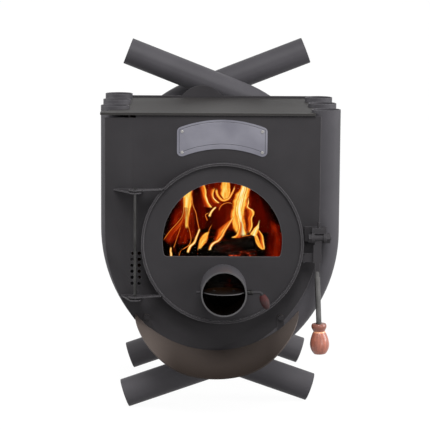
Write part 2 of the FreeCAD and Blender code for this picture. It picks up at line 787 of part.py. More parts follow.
# Turned pear-shaped wooden handle
handle_bore = lever_rod_d / 2 + press_gap
handle_depth = handle_socket + press_gap
belly_r = handle_d / 2
base_r = handle_base_d / 2
collar_r = handle_collar_d / 2
neck_r = handle_neck_d / 2
handle_profile = [
    [(handle_bore, 0), (collar_r * 0.9, 0)],
    [(collar_r * 0.9, 0), (collar_r, handle_length * 0.1), (collar_r * 0.92, handle_length * 0.16)],
    [(collar_r * 0.92, handle_length * 0.16), (neck_r, handle_length * 0.25)],
    [(neck_r, handle_length * 0.25), (belly_r * 0.875, handle_length * 0.46), (belly_r, handle_length * 0.68)],
    [(belly_r, handle_length * 0.68), (belly_r * 0.86, handle_length * 0.88), (base_r, handle_length)],
    [(base_r, handle_length), (0, handle_length)],
    [(0, handle_length), (0, handle_depth)],
    [(0, handle_depth), (handle_bore, handle_depth)],
    [(handle_bore, handle_depth), (handle_bore, 0)],
]
add("latch_handle", turned(handle_profile, rod_end, rod_along))

tongue_low = door_z - tongue_drop - tongue_height / 2
tongue_high = tongue_low + tongue_height
tongue_front = tongue_y - tongue_thickness / 2
tongue_back = tongue_y + tongue_thickness / 2
tongue = box(door_x, latch_x + tongue_overlap, tongue_front, tongue_back, tongue_low, tongue_high)
add("door_tongue", tongue.cut(rod_y(rim_front, rim_back, door_x, door_z, door_radius + press_gap)))

# Ash lip: a curved sheet that slopes down from the front plate, with two screwed tabs
lip_angle = math.radians(lip_slope)
lip_along = vec(0, -math.cos(lip_angle), -math.sin(lip_angle))
lip_start = vec(lip_x, front_face, door_z) - lip_along * lip_radius
lip_length = lip_reach / math.cos(lip_angle) + 2 * lip_radius
scoop_outer = Part.makeCylinder(lip_radius + lip_sheet, lip_length, lip_start, lip_along)
scoop = scoop_outer.cut(Part.makeCylinder(lip_radius, lip_length, lip_start, lip_along))
lip_back = front_face - press_gap
lip_front = front_face - lip_reach
lip_left = lip_x - lip_half_width
lip_right = lip_x + lip_half_width + lip_right_extra
stencil = box(lip_left, lip_right, lip_front, lip_back, 0, door_z)
front_corners = []
for edge in stencil.Edges:
    a, b = edge.Vertexes[0].Point, edge.Vertexes[-1].Point
    if abs(a.x - b.x) < 0.01 and abs(a.y - lip_front) < 0.01 and abs(b.y - lip_front) < 0.01:
        front_corners.append(edge)
lip = scoop.common(stencil.makeFillet(lip_corner, front_corners))
lip_screws = []
tab_front = lip_back - lip_sheet
tab_half = lip_tab_width / 2
screw_z = door_z - lip_screw_drop


def lip_reach_at(drop):
    # How far the curve of the lip stands out to the side at a depth below the door's middle
    return math.sqrt(lip_radius ** 2 - (drop * math.cos(lip_angle)) ** 2)


left_reach = lip_reach_at(lip_screw_drop + lip_left_rise)
# The right screw also keeps clear of the first tube, which comes forward of the back of the front plate
tube_half = math.sqrt(tube_r ** 2 - (tube_r - front_set_back - sheet) ** 2)
clear_radius = tube_bend_radius - tube_half - lip_screw_d / 2 - lip_screw_clearance
tube_reach = bend_x + math.sqrt(clear_radius ** 2 - (bend_z - screw_z) ** 2) - lip_x
right_reach = min(lip_reach_at(lip_screw_drop + lip_right_rise), tube_reach)
for side, reach in ((-1, left_reach), (1, right_reach)):
    x = lip_x + side * reach
    low = door_z - math.sqrt((lip_radius + lip_sheet) ** 2 - (reach - tab_half) ** 2) / math.cos(lip_angle)
    strip = box(x - tab_half, x + tab_half, tab_front, lip_back, low, screw_z)
    tab = joined([strip, rod_y(tab_front, lip_back, x, screw_z, tab_half)])
    hole = rod_y(tab_front, front_back, x, screw_z, lip_screw_d / 2 + screw_gap)
    lip = joined([lip, tab.common(scoop_outer)]).cut(hole)
    front = front.cut(hole)
    seat_y = tab_front - press_gap
    head = hex_y(seat_y - lip_screw_head_height, seat_y, x, screw_z, lip_screw_head_d)
    lip_screws.append(joined([rod_y(seat_y, front_back, x, screw_z, lip_screw_d / 2), head]))
lip = lip.cut(first_tube_room)
add("ash_lip", lip)
add("ash_lip_screws", Part.makeCompound(lip_screws))

# Plain arched name plate with its rivets
badge_back = front_face - press_gap
badge_front = badge_back - badge_sheet
badge_left = badge_x - badge_width / 2
badge_right = badge_x + badge_width / 2
badge_high = top_z - badge_top_drop
badge_low = badge_high - badge_height
top_left = vec(badge_left, badge_front, badge_high)
top_right = vec(badge_right, badge_front, badge_high)
low_left = vec(badge_left, badge_front, badge_low)
low_right = vec(badge_right, badge_front, badge_low)
top_middle = vec(badge_x, badge_front, badge_high + badge_top_arch)
low_middle = vec(badge_x, badge_front, badge_low + badge_bottom_arch)
top_edge = Part.Arc(top_left, top_middle, top_right).toShape()
low_edge = Part.Arc(low_right, low_middle, low_left).toShape()
badge = prism_y([top_edge, line(top_right, low_right), low_edge, line(low_left, top_left)], badge_sheet)
badge_corners = []
for edge in badge.Edges:
    a, b = edge.Vertexes[0].Point, edge.Vertexes[-1].Point
    if abs(a.x - b.x) < 0.01 and abs(a.z - b.z) < 0.01:
        badge_corners.append(edge)
badge = badge.makeFillet(badge_corner, badge_corners)
rivets = []
for x in (badge_left + rivet_inset_x, badge_right - rivet_inset_x):
    for z in (badge_low + rivet_low_inset, badge_high - rivet_top_inset):
        hole = rod_y(badge_front, front_back, x, z, rivet_d / 2 + screw_gap)
        badge = badge.cut(hole)
        front = front.cut(hole)
        head = rod_y(badge_front - rivet_head_height, badge_front, x, z, rivet_head_d / 2)
        rivets.append(joined([rod_y(badge_front, front_back, x, z, rivet_d / 2), head]))
add("name_plate", badge)
add("name_plate_rivets", Part.makeCompound(rivets))
add("front_plate", front)

# Flue collar in the rear plate, with a narrower spigot that the stove pipe slips over
spigot_r = flue_r - spigot_step
spigot_start = flue_end - spigot_length
collar = rod_y(rear_face, spigot_start, 0, flue_z, flue_r)
collar = joined([collar, rod_y(spigot_start, flue_end, 0, flue_z, spigot_r)])
collar = collar.cut(rod_y(rear_face, spigot_start - flue_wall, 0, flue_z, flue_r - flue_wall))
collar = collar.cut(rod_y(rear_face, flue_end, 0, flue_z, spigot_r - flue_wall))
add("flue_collar", collar.cut(rod_x(-flue_od, flue_od, damper_y, flue_z, damper_spindle_d / 2 + running_fit)))

# Flue damper, shown open: a vented disc on the flat of its spindle, with a wooden knob
damper_radius = flue_r - flue_wall - damper_clearance
damper_low = flue_z + damper_flat_height
damper_high = damper_low + damper_thickness
damper_end = flue_r + damper_arm
rod = rod_x(-flue_r - damper_stub, damper_end + damper_knob_grip, damper_y, flue_z, damper_spindle_d / 2)
flat_half = damper_radius + damper_clearance / 2
rod = rod.cut(box(-flat_half, flat_half, damper_y - damper_spindle_d, damper_y + damper_spindle_d,
                  damper_low, damper_low + damper_spindle_d))
plate = rod_z(damper_low, damper_high, 0, damper_y, damper_radius)
plate = plate.cut(rod_z(damper_low, damper_high, 0, damper_y - damper_radius / 2, damper_vent_d / 2))
damper_screws = []
for place in (-0.5, 0.5):
    screw_x = place * damper_screw_spacing
    bottom = flue_z - damper_spindle_d / 2
    hole = rod_z(bottom, damper_high, screw_x, damper_y, damper_screw_d / 2 + screw_gap)
    plate = plate.cut(hole)
    rod = rod.cut(hole)
    shank = rod_z(bottom, damper_high, screw_x, damper_y, damper_screw_d / 2)
    head_top = damper_high + damper_screw_head_height
    head = rod_z(damper_high, head_top, screw_x, damper_y, damper_screw_head_d / 2)
    damper_screws.append(joined([shank, head]))
add("damper_disc", plate)
add("damper_spindle", rod)
add("damper_screws", Part.makeCompound(damper_screws))
damper_bore = damper_spindle_d / 2 + press_gap
damper_socket = damper_knob_grip + press_gap
damper_profile = knob(damper_knob_d, damper_knob_length, damper_bore, damper_socket)
add("damper_knob", turned(damper_profile, vec(damper_end, damper_y, flue_z), vec(1, 0, 0)))

os.makedirs("parts", exist_ok=True)
for name, shape in nodes.items():
    solids = len(shape.Solids)
    print("%-22s solids %2d valid %s volume %.0f" % (name, solids, shape.isValid(), shape.Volume))
    shape.exportStep("parts/%s.step" % name)
whole = FreeCAD.BoundBox()
for shape in nodes.values():
    whole.add(shape.optimalBoundingBox(False))
print("x %.1f to %.1f" % (whole.XMin, whole.XMax))
print("y %.1f to %.1f" % (whole.YMin, whole.YMax))
print("z %.1f to %.1f" % (whole.ZMin, whole.ZMax))
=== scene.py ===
import bpy
import json
import math
from mathutils import Matrix, Vector, noise

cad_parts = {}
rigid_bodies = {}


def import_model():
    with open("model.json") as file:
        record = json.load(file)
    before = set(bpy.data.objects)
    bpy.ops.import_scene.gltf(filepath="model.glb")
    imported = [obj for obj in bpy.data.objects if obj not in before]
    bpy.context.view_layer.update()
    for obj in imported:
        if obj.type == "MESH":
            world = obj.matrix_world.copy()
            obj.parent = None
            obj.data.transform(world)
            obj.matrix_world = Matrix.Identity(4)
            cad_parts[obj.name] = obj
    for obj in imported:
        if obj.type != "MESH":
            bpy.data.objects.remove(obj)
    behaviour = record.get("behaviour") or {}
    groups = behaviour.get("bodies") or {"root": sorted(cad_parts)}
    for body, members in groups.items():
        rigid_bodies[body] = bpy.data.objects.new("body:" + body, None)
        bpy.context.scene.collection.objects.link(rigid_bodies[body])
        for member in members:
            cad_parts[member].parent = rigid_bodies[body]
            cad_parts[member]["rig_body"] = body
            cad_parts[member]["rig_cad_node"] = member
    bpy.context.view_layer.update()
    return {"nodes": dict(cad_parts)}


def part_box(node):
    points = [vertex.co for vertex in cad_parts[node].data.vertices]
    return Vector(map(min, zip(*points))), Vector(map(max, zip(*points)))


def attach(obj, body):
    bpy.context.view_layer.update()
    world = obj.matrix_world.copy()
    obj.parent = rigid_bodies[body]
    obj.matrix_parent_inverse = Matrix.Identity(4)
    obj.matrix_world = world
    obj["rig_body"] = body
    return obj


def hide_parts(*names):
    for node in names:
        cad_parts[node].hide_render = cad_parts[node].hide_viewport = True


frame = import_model()
nodes = frame["nodes"]

# Air tubes: eight mild steel tubes bent over a former, four to a side.
# They are welded side by side into the round belly and sprayed with heat-proof paint.
# Cold room air enters below, warms along the fire and leaves at the top.


class Socket:
    """A socket of a node tree, which Python's operators combine through Math nodes."""

    def __init__(self, owner, socket):
        self.owner = owner
        self.socket = socket

    def math(self, operation, first, second):
        return self.owner.node("Math", {"operation": operation}, {0: first, 1: second})

    def __add__(self, other):
        return self.math("ADD", self, other)

    def __sub__(self, other):
        return self.math("SUBTRACT", self, other)

    def __rsub__(self, other):
        return self.math("SUBTRACT", other, self)

    def __mul__(self, other):
        return self.math("MULTIPLY", self, other)

    def __abs__(self):
        return self.math("ABSOLUTE", self, 0.0)

    __radd__ = __add__
    __rmul__ = __mul__


class NodeTree:
    """A node tree in which each node is made from its type, its settings and its inputs."""

    def __init__(self, tree):
        self.tree = tree

    def node(self, kind, settings=None, inputs=None, output=0):
        made = self.tree.nodes.new("ShaderNode" + kind)
        for name, value in (settings or {}).items():
            if name == "stops":
                elements = made.color_ramp.elements
                while len(elements) < len(value):
                    elements.new(0.5)
                for element, (position, colour) in zip(elements, value):
                    element.position = position
                    element.color = (*colour, 1.0)
            else:
                setattr(made, name, value)
        for name, value in (inputs or {}).items():
            self.feed(made.inputs[name], value)
        return Socket(self, made.outputs[output])

    def feed(self, socket, value):
        if isinstance(value, Socket):
            self.tree.links.new(value.socket, socket)
        elif isinstance(value, tuple) and len(value) == 3 and len(socket.default_value) == 4:
            socket.default_value = (*value, 1.0)
        else:
            socket.default_value = value


class Finish(NodeTree):
    """A procedural material built round one Principled BSDF."""

    def __init__(self, name):
        self.material = bpy.data.materials.new(name)
        self.material.use_nodes = True
        super().__init__(self.material.node_tree)
        self.shader = self.tree.nodes["Principled BSDF"]
        self.place = self.node("TexCoord", output="Object")

    def surface(self, inputs):
        for name, value in inputs.items():
            self.feed(self.shader.inputs[name], value)
        return self.material

    def noise(self, scale, detail=2.0, roughness=0.5, vector=None):
        inputs = {"Vector": vector or self.place, "Scale": scale, "Detail": detail, "Roughness": roughness}
        return self.node("TexNoise", {}, inputs, "Fac")

    def mix(self, factor, first, second):
        settings = {"data_type": "RGBA"}
        return self.node("Mix", settings, {0: factor, 6: first, 7: second}, 2)

    def span(self, value, low, high, new_low=0.0, new_high=1.0, kind="LINEAR"):
        inputs = {"Value": value, 1: low, 2: high, 3: new_low, 4: new_high}
        return self.node("MapRange", {"interpolation_type": kind}, inputs)

    def ease(self, value, low, high, new_low=0.0, new_high=1.0):
        return self.span(value, low, high, new_low, new_high, "SMOOTHSTEP")

    def edges(self, radius):
        rounded = self.node("Bevel", {"samples": 4}, {"Radius": radius}, "Normal")
        straight = self.node("NewGeometry", output="Normal")
        settings = {"operation": "DOT_PRODUCT"}
        return 1.0 - self.node("VectorMath", settings, {0: rounded, 1: straight}, "Value")

    def bump(self, height, distance, strength=1.0):
        inputs = {"Strength": strength, "Distance": distance, "Height": height}
        return self.node("Bump", {}, inputs)


def heatproof_paint(name, colour, worn, roughness=0.52, gloss=0.08, dust=0.0, edge=0.0016):
    # Sprayed silicone paint: a cloudy dark grey with a fine grain, worn lighter along edges, where the
    # lightening is also a painted highlight, and lighter near the floor as painted light on the legs
    finish = Finish(name)
    height = finish.node("SeparateXYZ", {}, {0: finish.place}, "Z")
    cloud = finish.noise(7.0, 4.0, 0.6)
    grain = finish.noise(1400.0, 2.0, 0.6)
    peel = finish.noise(420.0, 2.0, 0.5)
    dark = tuple(0.82 * part for part in colour)
    light = tuple(1.22 * part for part in colour)
    coat = finish.mix(finish.span(cloud * 0.6 + grain * 0.4, 0.32, 0.68), dark, light)
    # Lighter towards the floor by the dust share: painted light on the legs
    leg_light_low = 0.07
    leg_light_high = 0.24
    coat = finish.mix(finish.ease(height, leg_light_low, leg_light_high, dust, 0.0), coat, worn)
    # Edges worn lighter; the same lightening stands in for highlights along them, a painted highlight
    rubbed_and_highlit_edges = finish.span(finish.edges(edge) * (0.5 + cloud), 0.05, 0.45, 0.0, 0.75)
    return finish.surface({
        "Base Color": finish.mix(rubbed_and_highlit_edges, coat, worn),
        "Roughness": finish.span(cloud * 0.5 + grain * 0.5, 0.3, 0.7, roughness - 0.05, roughness + 0.09),
        "Metallic": 0.0,
        "Normal": finish.bump(peel * 0.6 + grain * 0.4, 0.0003, 0.35),
        "Specular IOR Level": gloss,
    })


# Plates and tubes wear one paint; the plates' copy is darker as painted shade and the tubes' copy lighter
# as painted light
shaded_plate_colour = (0.0304, 0.0286, 0.0308)
paint = heatproof_paint("heatproof paint", shaded_plate_colour, (0.126, 0.119, 0.126))
lit_tube_colour = (0.056, 0.0535, 0.059)
lit_tube_worn = (0.153, 0.144, 0.153)
tube_paint = heatproof_paint("tube paint", lit_tube_colour, lit_tube_worn, 0.46, 0.1, 0.12)
rear_tube_lit_paint = heatproof_paint("rear tube lit paint", lit_tube_colour, lit_tube_worn, 0.46, 0.1, 0.5)


def pick(piece):
    bpy.ops.object.select_all(action="DESELECT")
    piece.select_set(True)
    bpy.context.view_layer.objects.active = piece


def apply_modifier(piece, kind, **settings):
    pick(piece)
    modifier = piece.modifiers.new(kind.title(), kind)
    for name, value in settings.items():
        setattr(modifier, name, value)
    bpy.ops.object.modifier_apply(modifier=modifier.name)


def settle(piece, body, material, smooth=35.0):
    pick(piece)
    bpy.ops.object.shade_smooth_by_angle(angle=math.radians(smooth))
    piece.data.materials.clear()
    piece.data.materials.append(material)
    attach(piece, body)
    return piece


def softened(node, width, material, segments=2):
    # A copy of a plain solid with its sharp edges rounded over, as deburred sheet and tube have them
    pick(nodes[node])
    bpy.ops.object.duplicate()
    piece = bpy.context.active_object
    piece.name = "finished_" + node
    body = piece["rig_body"]
    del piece["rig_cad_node"]
    bpy.ops.mesh.customdata_custom_splitnormals_clear()
    bpy.ops.object.mode_set(mode="EDIT")
    bpy.ops.mesh.select_all(action="SELECT")
    bpy.ops.mesh.remove_doubles(threshold=0.00002)
    bpy.ops.mesh.dissolve_limited(angle_limit=math.radians(0.4))
    bpy.ops.object.mode_set(mode="OBJECT")
    sharp = math.radians(40.0)
    apply_modifier(piece, "BEVEL", width=width, segments=segments, limit_method="ANGLE", angle_limit=sharp)
    settle(piece, body, material)
    apply_modifier(piece, "WEIGHTED_NORMAL", keep_sharp=True)
    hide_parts(node)
    return piece


tube_count = 8
first_rear_tube = 7
for number in range(1, tube_count + 1):
    # The rear tubes get more of this painted light low down, where the body shades their legs
    tube_coat = rear_tube_lit_paint if number >= first_rear_tube else tube_paint
    softened(f"air_tube_{number}", 0.0008, tube_coat)

# Firebox shell: one bent steel sheet that lies against the inside of all the tubes.
# It is painted outside, and black with soot where the fire burns.


def sooted_steel(name, black, brown, ash):
    finish = Finish(name)
    cloud = finish.noise(9.0, 5.0, 0.62)
    flake = finish.noise(160.0, 4.0, 0.65)
    film = finish.mix(finish.span(cloud, 0.35, 0.7), black, brown)
    dusty = finish.span(flake * cloud, 0.30, 0.42, 0.0, 0.4)
    return finish.surface({
        "Base Color": finish.mix(dusty, film, ash),
        "Roughness": finish.span(flake, 0.3, 0.7, 0.72, 0.95),
        "Specular IOR Level": 0.03,
        "Normal": finish.bump(flake, 0.0012, 0.5),
    })


soot = sooted_steel("sooted steel", (0.005, 0.0035, 0.003), (0.02, 0.012, 0.009), (0.06, 0.045, 0.038))


def coat_faces(piece, coat, chosen):
    # A further finish on the faces that a test on their middle and normal picks out
    piece.data.materials.append(coat)
    for face in piece.data.polygons:
        if chosen(face.center, face.normal):
            face.material_index = len(piece.data.materials) - 1


shell = softened("firebox_shell", 0.0006, paint)
shell_lo, shell_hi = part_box("firebox_shell")
belly_middle_x = 0.061
belly_middle_z = 0.3724
belly_radius = 0.245


def faces_fire(middle, normal):
    return normal.x * middle.x + normal.z * min(middle.z - belly_middle_z, 0) < 0


coat_faces(shell, soot, faces_fire)

# Front, rear and top plates: flame-cut steel sheet, welded to the shell and the tubes.
# The top plate is a warm hotplate whose notches let six tubes through.

# The hotplate's paint is tinted brown: painted warm light on its upward face
warm_lit_paint = heatproof_paint("hotplate paint", (0.0297, 0.0282, 0.0275), (0.126, 0.12, 0.117), 0.5)
front_plate = softened("front_plate", 0.0006, paint)
rear_plate = softened("rear_plate", 0.0006, paint)
softened("top_plate", 0.0009, warm_lit_paint)
hotplate_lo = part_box("top_plate")[0]
shell_sides = [(hotplate_lo, Vector((0.0, 0.0, 1.0))), (shell_lo, Vector((0.0, 0.0, -1.0)))]
for hand in (-1, 1):
    bend_middle = Vector((-hand * belly_middle_x, 0.0, belly_middle_z))
    for degrees in (0.0, 22.5, 45.0, 67.5):
        tilt = math.radians(degrees)
        out = Vector((hand * math.cos(tilt), 0.0, -math.sin(tilt)))
        shell_sides.append((bend_middle + out * belly_radius, out))


def soot_inside(plate, inward):
    # The inner face is cut along straight lines round the shell, and what they ring is black with soot
    pick(plate)
    bpy.ops.object.mode_set(mode="EDIT")
    for place, out in shell_sides:
        bpy.ops.mesh.select_all(action="SELECT")
        bpy.ops.mesh.bisect(plane_co=place, plane_no=out)
    bpy.ops.object.mode_set(mode="OBJECT")

    def ringed(middle, normal):
        return normal.y * inward > 0.9 and all((middle - place).dot(out) < 0 for place, out in shell_sides)

    coat_faces(plate, soot, ringed)


soot_inside(front_plate, 1)
soot_inside(rear_plate, -1)

# Weld beads: the hand-laid seams that join the plates, hinge, latch and pipes.
# Each is a row of overlapping ripples of melted steel, painted over with the rest.

bead_pitch = 0.0075


def bead(name, body, line, length, radius, ring=False):
    # A tube along a line, swollen once for each ripple, with the ripples bowed along the seam
    ripples = max(2, round(length / bead_pitch))
    bpy.ops.object.select_all(action="DESELECT")
    bpy.ops.mesh.primitive_grid_add(x_subdivisions=6 * ripples, y_subdivisions=10, size=1.0)
    piece = bpy.context.active_object
    piece.name = name
    for vertex in piece.data.vertices:
        share = vertex.co.x + 0.5
        around = 2 * math.pi * (vertex.co.y + 0.5)
        ahead = (line(share + 0.001) - line(share - 0.001)).normalized()
        side = ahead.cross(Vector((0.0, 1.0, 0.0)))
        swell = 0.7 + 0.3 * abs(math.sin(math.pi * share * ripples + 0.5 * math.cos(around)))
        if not ring:
            swell *= math.sqrt(max(0.0, min(1.0, share * ripples, (1 - share) * ripples)))
        out = side * math.cos(around) + ahead.cross(side) * math.sin(around)
        vertex.co = line(share) + out * radius * swell
    bpy.ops.object.mode_set(mode="EDIT")
    bpy.ops.mesh.select_all(action="SELECT")
    bpy.ops.mesh.remove_doubles(threshold=0.00002)
    bpy.ops.mesh.normals_make_consistent(inside=False)
    bpy.ops.object.mode_set(mode="OBJECT")
    return settle(piece, body, paint, 60.0)


def seam(name, body, start, end, radius):
    start = Vector(start)
    end = Vector(end)
    return bead(name, body, lambda share: start.lerp(end, share), (end - start).length, radius)


def ring_seam(name, body, middle, reach, radius):
    def line(share):
        turn = 2 * math.pi * share
        return Vector(middle) + Vector((math.cos(turn), 0.0, math.sin(turn))) * reach

    return bead(name, body, line, 2 * math.pi * reach, radius, True)


plate_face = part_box("front_plate")[0].y
top_seam_left = (-0.177, plate_face, hotplate_lo.z)
top_seam_right = (0.184, plate_face, hotplate_lo.z)
top_bead = 0.003
seam("weld_top", "stove", top_seam_left, top_seam_right, top_bead)

thin_bead = 0.0022
for name in ("upper_hinge_bracket", "lower_hinge_bracket"):
    foot_lo, foot_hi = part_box(name)
    start = (foot_lo.x, plate_face, foot_hi.z)
    end = (foot_hi.x, plate_face, foot_hi.z)
    seam("weld_" + name, "stove", start, end, thin_bead)

leaf_inset = 0.011
leaf_run = 0.004
leaf_bead = 0.003
for name in ("upper_door_leaf", "lower_door_leaf"):
    leaf_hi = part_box(name)[1]
    start = Vector((leaf_hi.x, leaf_hi.y - leaf_inset, leaf_hi.z))
    end = start + Vector((leaf_run, 0.0, -leaf_run))
    seam("weld_" + name, "door", start, end, leaf_bead)

base_lo, base_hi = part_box("latch_bracket")
stop_pin_height = 0.012
latch_bead = 0.0025
start = (base_lo.x, plate_face, base_lo.z)
end = (base_lo.x, plate_face, base_hi.z - stop_pin_height)
seam("weld_latch", "stove", start, end, latch_bead)

tongue_lo, tongue_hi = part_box("door_tongue")
tongue_from = tongue_lo.x + 0.001
tongue_to = tongue_lo.x + 0.008
for name, z in (("weld_tongue_above", tongue_hi.z), ("weld_tongue_below", tongue_lo.z)):
    seam(name, "door", (tongue_from, tongue_lo.y, z), (tongue_to, tongue_lo.y, z), thin_bead)

pipe_lo, pipe_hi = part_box("air_inlet_pipe")
pipe_axis = (pipe_lo + pipe_hi) / 2
pipe_radius = (pipe_hi.x - pipe_lo.x) / 2
pan_sheet = 0.003
pan_face = pipe_hi.y - pan_sheet
ring_seam("weld_inlet", "door", (pipe_axis.x, pan_face, pipe_axis.z), pipe_radius, thin_bead)

flue_lo, flue_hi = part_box("flue_collar")
flue_axis = (flue_lo + flue_hi) / 2
flue_radius = (flue_hi.x - flue_lo.x) / 2
flue_bead = 0.003
rear_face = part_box("rear_plate")[1].y
ring_seam("weld_flue", "stove", (flue_axis.x, rear_face, flue_axis.z), flue_radius, flue_bead)

# Baffle over the fire: a loose steel plate on two angle bars, which sends the flames forward.
# It hangs in the fire, so it is bare and sooted.

for name in ("baffle_plate", "baffle_supports"):
    softened(name, 0.0005, soot)

# Door neck: a short ring rolled from steel strip, which the door closes over.
# It is welded in the front plate's opening, and its edge presses into the door's seal.

softened("door_neck", 0.0006, paint)

# Hinge: four cut steel eyes, two welded to the front plate and two to the door's rim.
# One long turned pin drops through all four.


def bare_steel(name, colour, roughness):
    # Turned and rolled steel with fine tool marks and a little tarnish
    finish = Finish(name)
    stretch = finish.node("Mapping", {}, {"Vector": finish.place, "Scale": (60.0, 60.0, 1600.0)}, "Vector")
    marks = finish.noise(1.0, 3.0, 0.6, stretch)
    cloud = finish.noise(24.0, 3.0, 0.6)
    tarnish = tuple(0.55 * part for part in colour)
    return finish.surface({
        "Base Color": finish.mix(finish.span(cloud, 0.35, 0.7), colour, tarnish),
        "Metallic": 1.0,
        "Roughness": finish.span(marks * 0.6 + cloud * 0.4, 0.3, 0.7, roughness - 0.08, roughness + 0.1),
        "Normal": finish.bump(marks, 0.00012, 0.5),
    })


steel = bare_steel("bare steel", (0.36, 0.35, 0.34), 0.38)
blued_steel = bare_steel("blued steel", (0.05, 0.049, 0.048), 0.46)
# Hinge and door paint is lighter along wider edges: partly wear, partly a painted highlight
handled_and_highlit_paint = heatproof_paint("handled paint", shaded_plate_colour, (0.22, 0.21, 0.22), edge=0.0026)
for name in ("upper_hinge_bracket", "lower_hinge_bracket", "upper_door_leaf", "lower_door_leaf"):
    softened(name, 0.0005, handled_and_highlit_paint)
softened("hinge_pin", 0.0006, blued_steel)

# Door: a round steel pan with a turned-back rim and a half-round window.
# It is pressed from sheet, painted as the stove is, and worn bright along its edges, where the brightening
# is also a painted highlight.

softened("door_pan", 0.0008, handled_and_highlit_paint)

# Door seal: a rope of three twisted strands of glass fibre, grey with use.
# It is laid in the pan, and the neck presses into it when the door is shut.

rope_lo, rope_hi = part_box("door_gasket")
rope_middle = (rope_lo + rope_hi) / 2
rope_width = 0.007
rope_depth = rope_hi.y - rope_lo.y
rope_ring = (rope_hi.x - rope_lo.x) / 2 - rope_width / 2
rope_lays = 150
rope_strands = 3


def twisted_fibre(name):
    finish = Finish(name)
    fibre = finish.noise(1500.0, 3.0, 0.7)
    cloud = finish.noise(30.0, 3.0, 0.6)
    tone = finish.span(fibre * 0.5 + cloud * 0.5, 0.3, 0.7)
    return finish.surface({
        "Base Color": finish.mix(tone, (0.06, 0.057, 0.055), (0.21, 0.205, 0.2)),
        "Roughness": finish.span(fibre, 0.3, 0.7, 0.8, 0.98),
        "Normal": finish.bump(fibre, 0.0004, 0.6),
    })


bpy.ops.object.select_all(action="DESELECT")
bpy.ops.mesh.primitive_torus_add(
    major_radius=rope_ring, minor_radius=rope_width / 2, major_segments=900, minor_segments=18,
)
rope = bpy.context.active_object
rope.name = "rope_seal"
for vertex in rope.data.vertices:
    around = math.atan2(vertex.co.y, vertex.co.x)
    out = math.hypot(vertex.co.x, vertex.co.y) - rope_ring
    section = math.atan2(vertex.co.z, out)
    lobe = 0.86 + 0.14 * math.cos(rope_strands * section + rope_lays * around)
    reach = rope_ring + lobe * rope_width / 2 * math.cos(section)
    depth = lobe * rope_depth / 2 * math.sin(section)
    vertex.co = (
        rope_middle.x + reach * math.cos(around),
        rope_middle.y + depth,
        rope_middle.z + reach * math.sin(around),
    )
bpy.ops.object.mode_set(mode="EDIT")
bpy.ops.mesh.select_all(action="SELECT")
bpy.ops.mesh.normals_make_consistent(inside=False)
bpy.ops.object.mode_set(mode="OBJECT")
settle(rope, "door", twisted_fibre("twisted fibre"), 60.0)
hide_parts("door_gasket")

# Window: a pane of clear heat-proof glass behind the opening, on a thin fibre strip.
# Four bent clips with round-headed screws hold it from behind.


def clear_glass(name):
    finish = Finish(name)
    haze = finish.noise(14.0, 4.0, 0.6)
    return finish.surface({
        "Base Color": (0.98, 0.96, 0.93),
        "Roughness": finish.span(haze, 0.4, 0.8, 0.0, 0.03),
        "Transmission Weight": 1.0,
        "IOR": 1.05,
    })


softened("door_glass", 0.0004, clear_glass("window glass"))
softened("glass_gasket", 0.0003, twisted_fibre("strip fibre"))
softened("glass_clips", 0.0004, soot)
softened("glass_screws", 0.0008, steel, 3)

# Air inlet pipe: a stub of steel tube welded through the lower half of the door.
# Its cut rim is worn lighter, and it is black inside, partly with soot and partly as painted shade.

# The lighter worn paint is wear on the inlet's cut rim and a painted highlight on the flap's rim
worn_and_highlit_paint = heatproof_paint("worn paint", (0.075, 0.073, 0.075), (0.144, 0.139, 0.144))
# Darker than the firebox's soot: soot and painted shade inside the pipe
pipe_soot_and_shade = sooted_steel("pipe soot", (0.0012, 0.001, 0.001), (0.004, 0.003, 0.0027), (0.01, 0.008, 0.007))


def faces_in(middle, normal):
    outward = normal.x * (middle.x - pipe_axis.x) + normal.z * (middle.z - pipe_axis.z)
    return outward < 0 and abs(normal.y) < 0.5


inlet = softened("air_inlet_pipe", 0.0007, tube_paint)
coat_faces(inlet, worn_and_highlit_paint, lambda middle, normal: normal.y < -0.5)
coat_faces(inlet, pipe_soot_and_shade, faces_in)

# Throttle flap: a steel disc screwed to a cranked rod that a coil spring holds by friction.
# A small turned wooden knob sits on the rod's end.


def turned_wood(name, dark, light, shade_low, shade_high, roughness, coat, groove=0.0):
    # Stained and oiled hardwood: long fibres along the knob, darker pores, darker above a height as painted
    # shade, and paler in a turned groove where the stain has worn off
    finish = Finish(name)
    height = finish.node("SeparateXYZ", {}, {0: finish.place}, "Z")
    pale = finish.ease(abs(height - groove), 0.0006, 0.0022, 1.0, 0.0)
    along = finish.node("Mapping", {}, {"Vector": finish.place, "Scale": (9.0, 9.0, 1.0)}, "Vector")
    figure = finish.noise(26.0, 4.0, 0.6, along)
    pores = finish.noise(150.0, 2.0, 0.7, along)
    tone = finish.span(figure * 0.7 + pores * 0.3, 0.33, 0.66)
    stain = finish.mix(finish.ease(height, shade_low, shade_high), finish.mix(tone, dark, light), dark)
    return finish.surface({
        "Base Color": finish.mix(pale, stain, (0.72, 0.33, 0.18)),
        "Roughness": finish.span(pores, 0.3, 0.7, roughness, roughness + 0.14),
        "Specular IOR Level": 0.2,
        "Coat Weight": coat,
        "Coat Roughness": 0.22,
        "Normal": finish.bump(pores, 0.0003, 0.4),
    })


knob_lo, knob_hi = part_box("flap_knob")
knob_shade_low = knob_lo.z + 0.012
knob_shade_high = knob_hi.z - 0.004
knob_dark = (0.045, 0.011, 0.011)
knob_light = (0.036, 0.025, 0.025)
knob_wood = turned_wood("knob wood", knob_dark, knob_light, knob_shade_low, knob_shade_high, 0.62, 0.0)
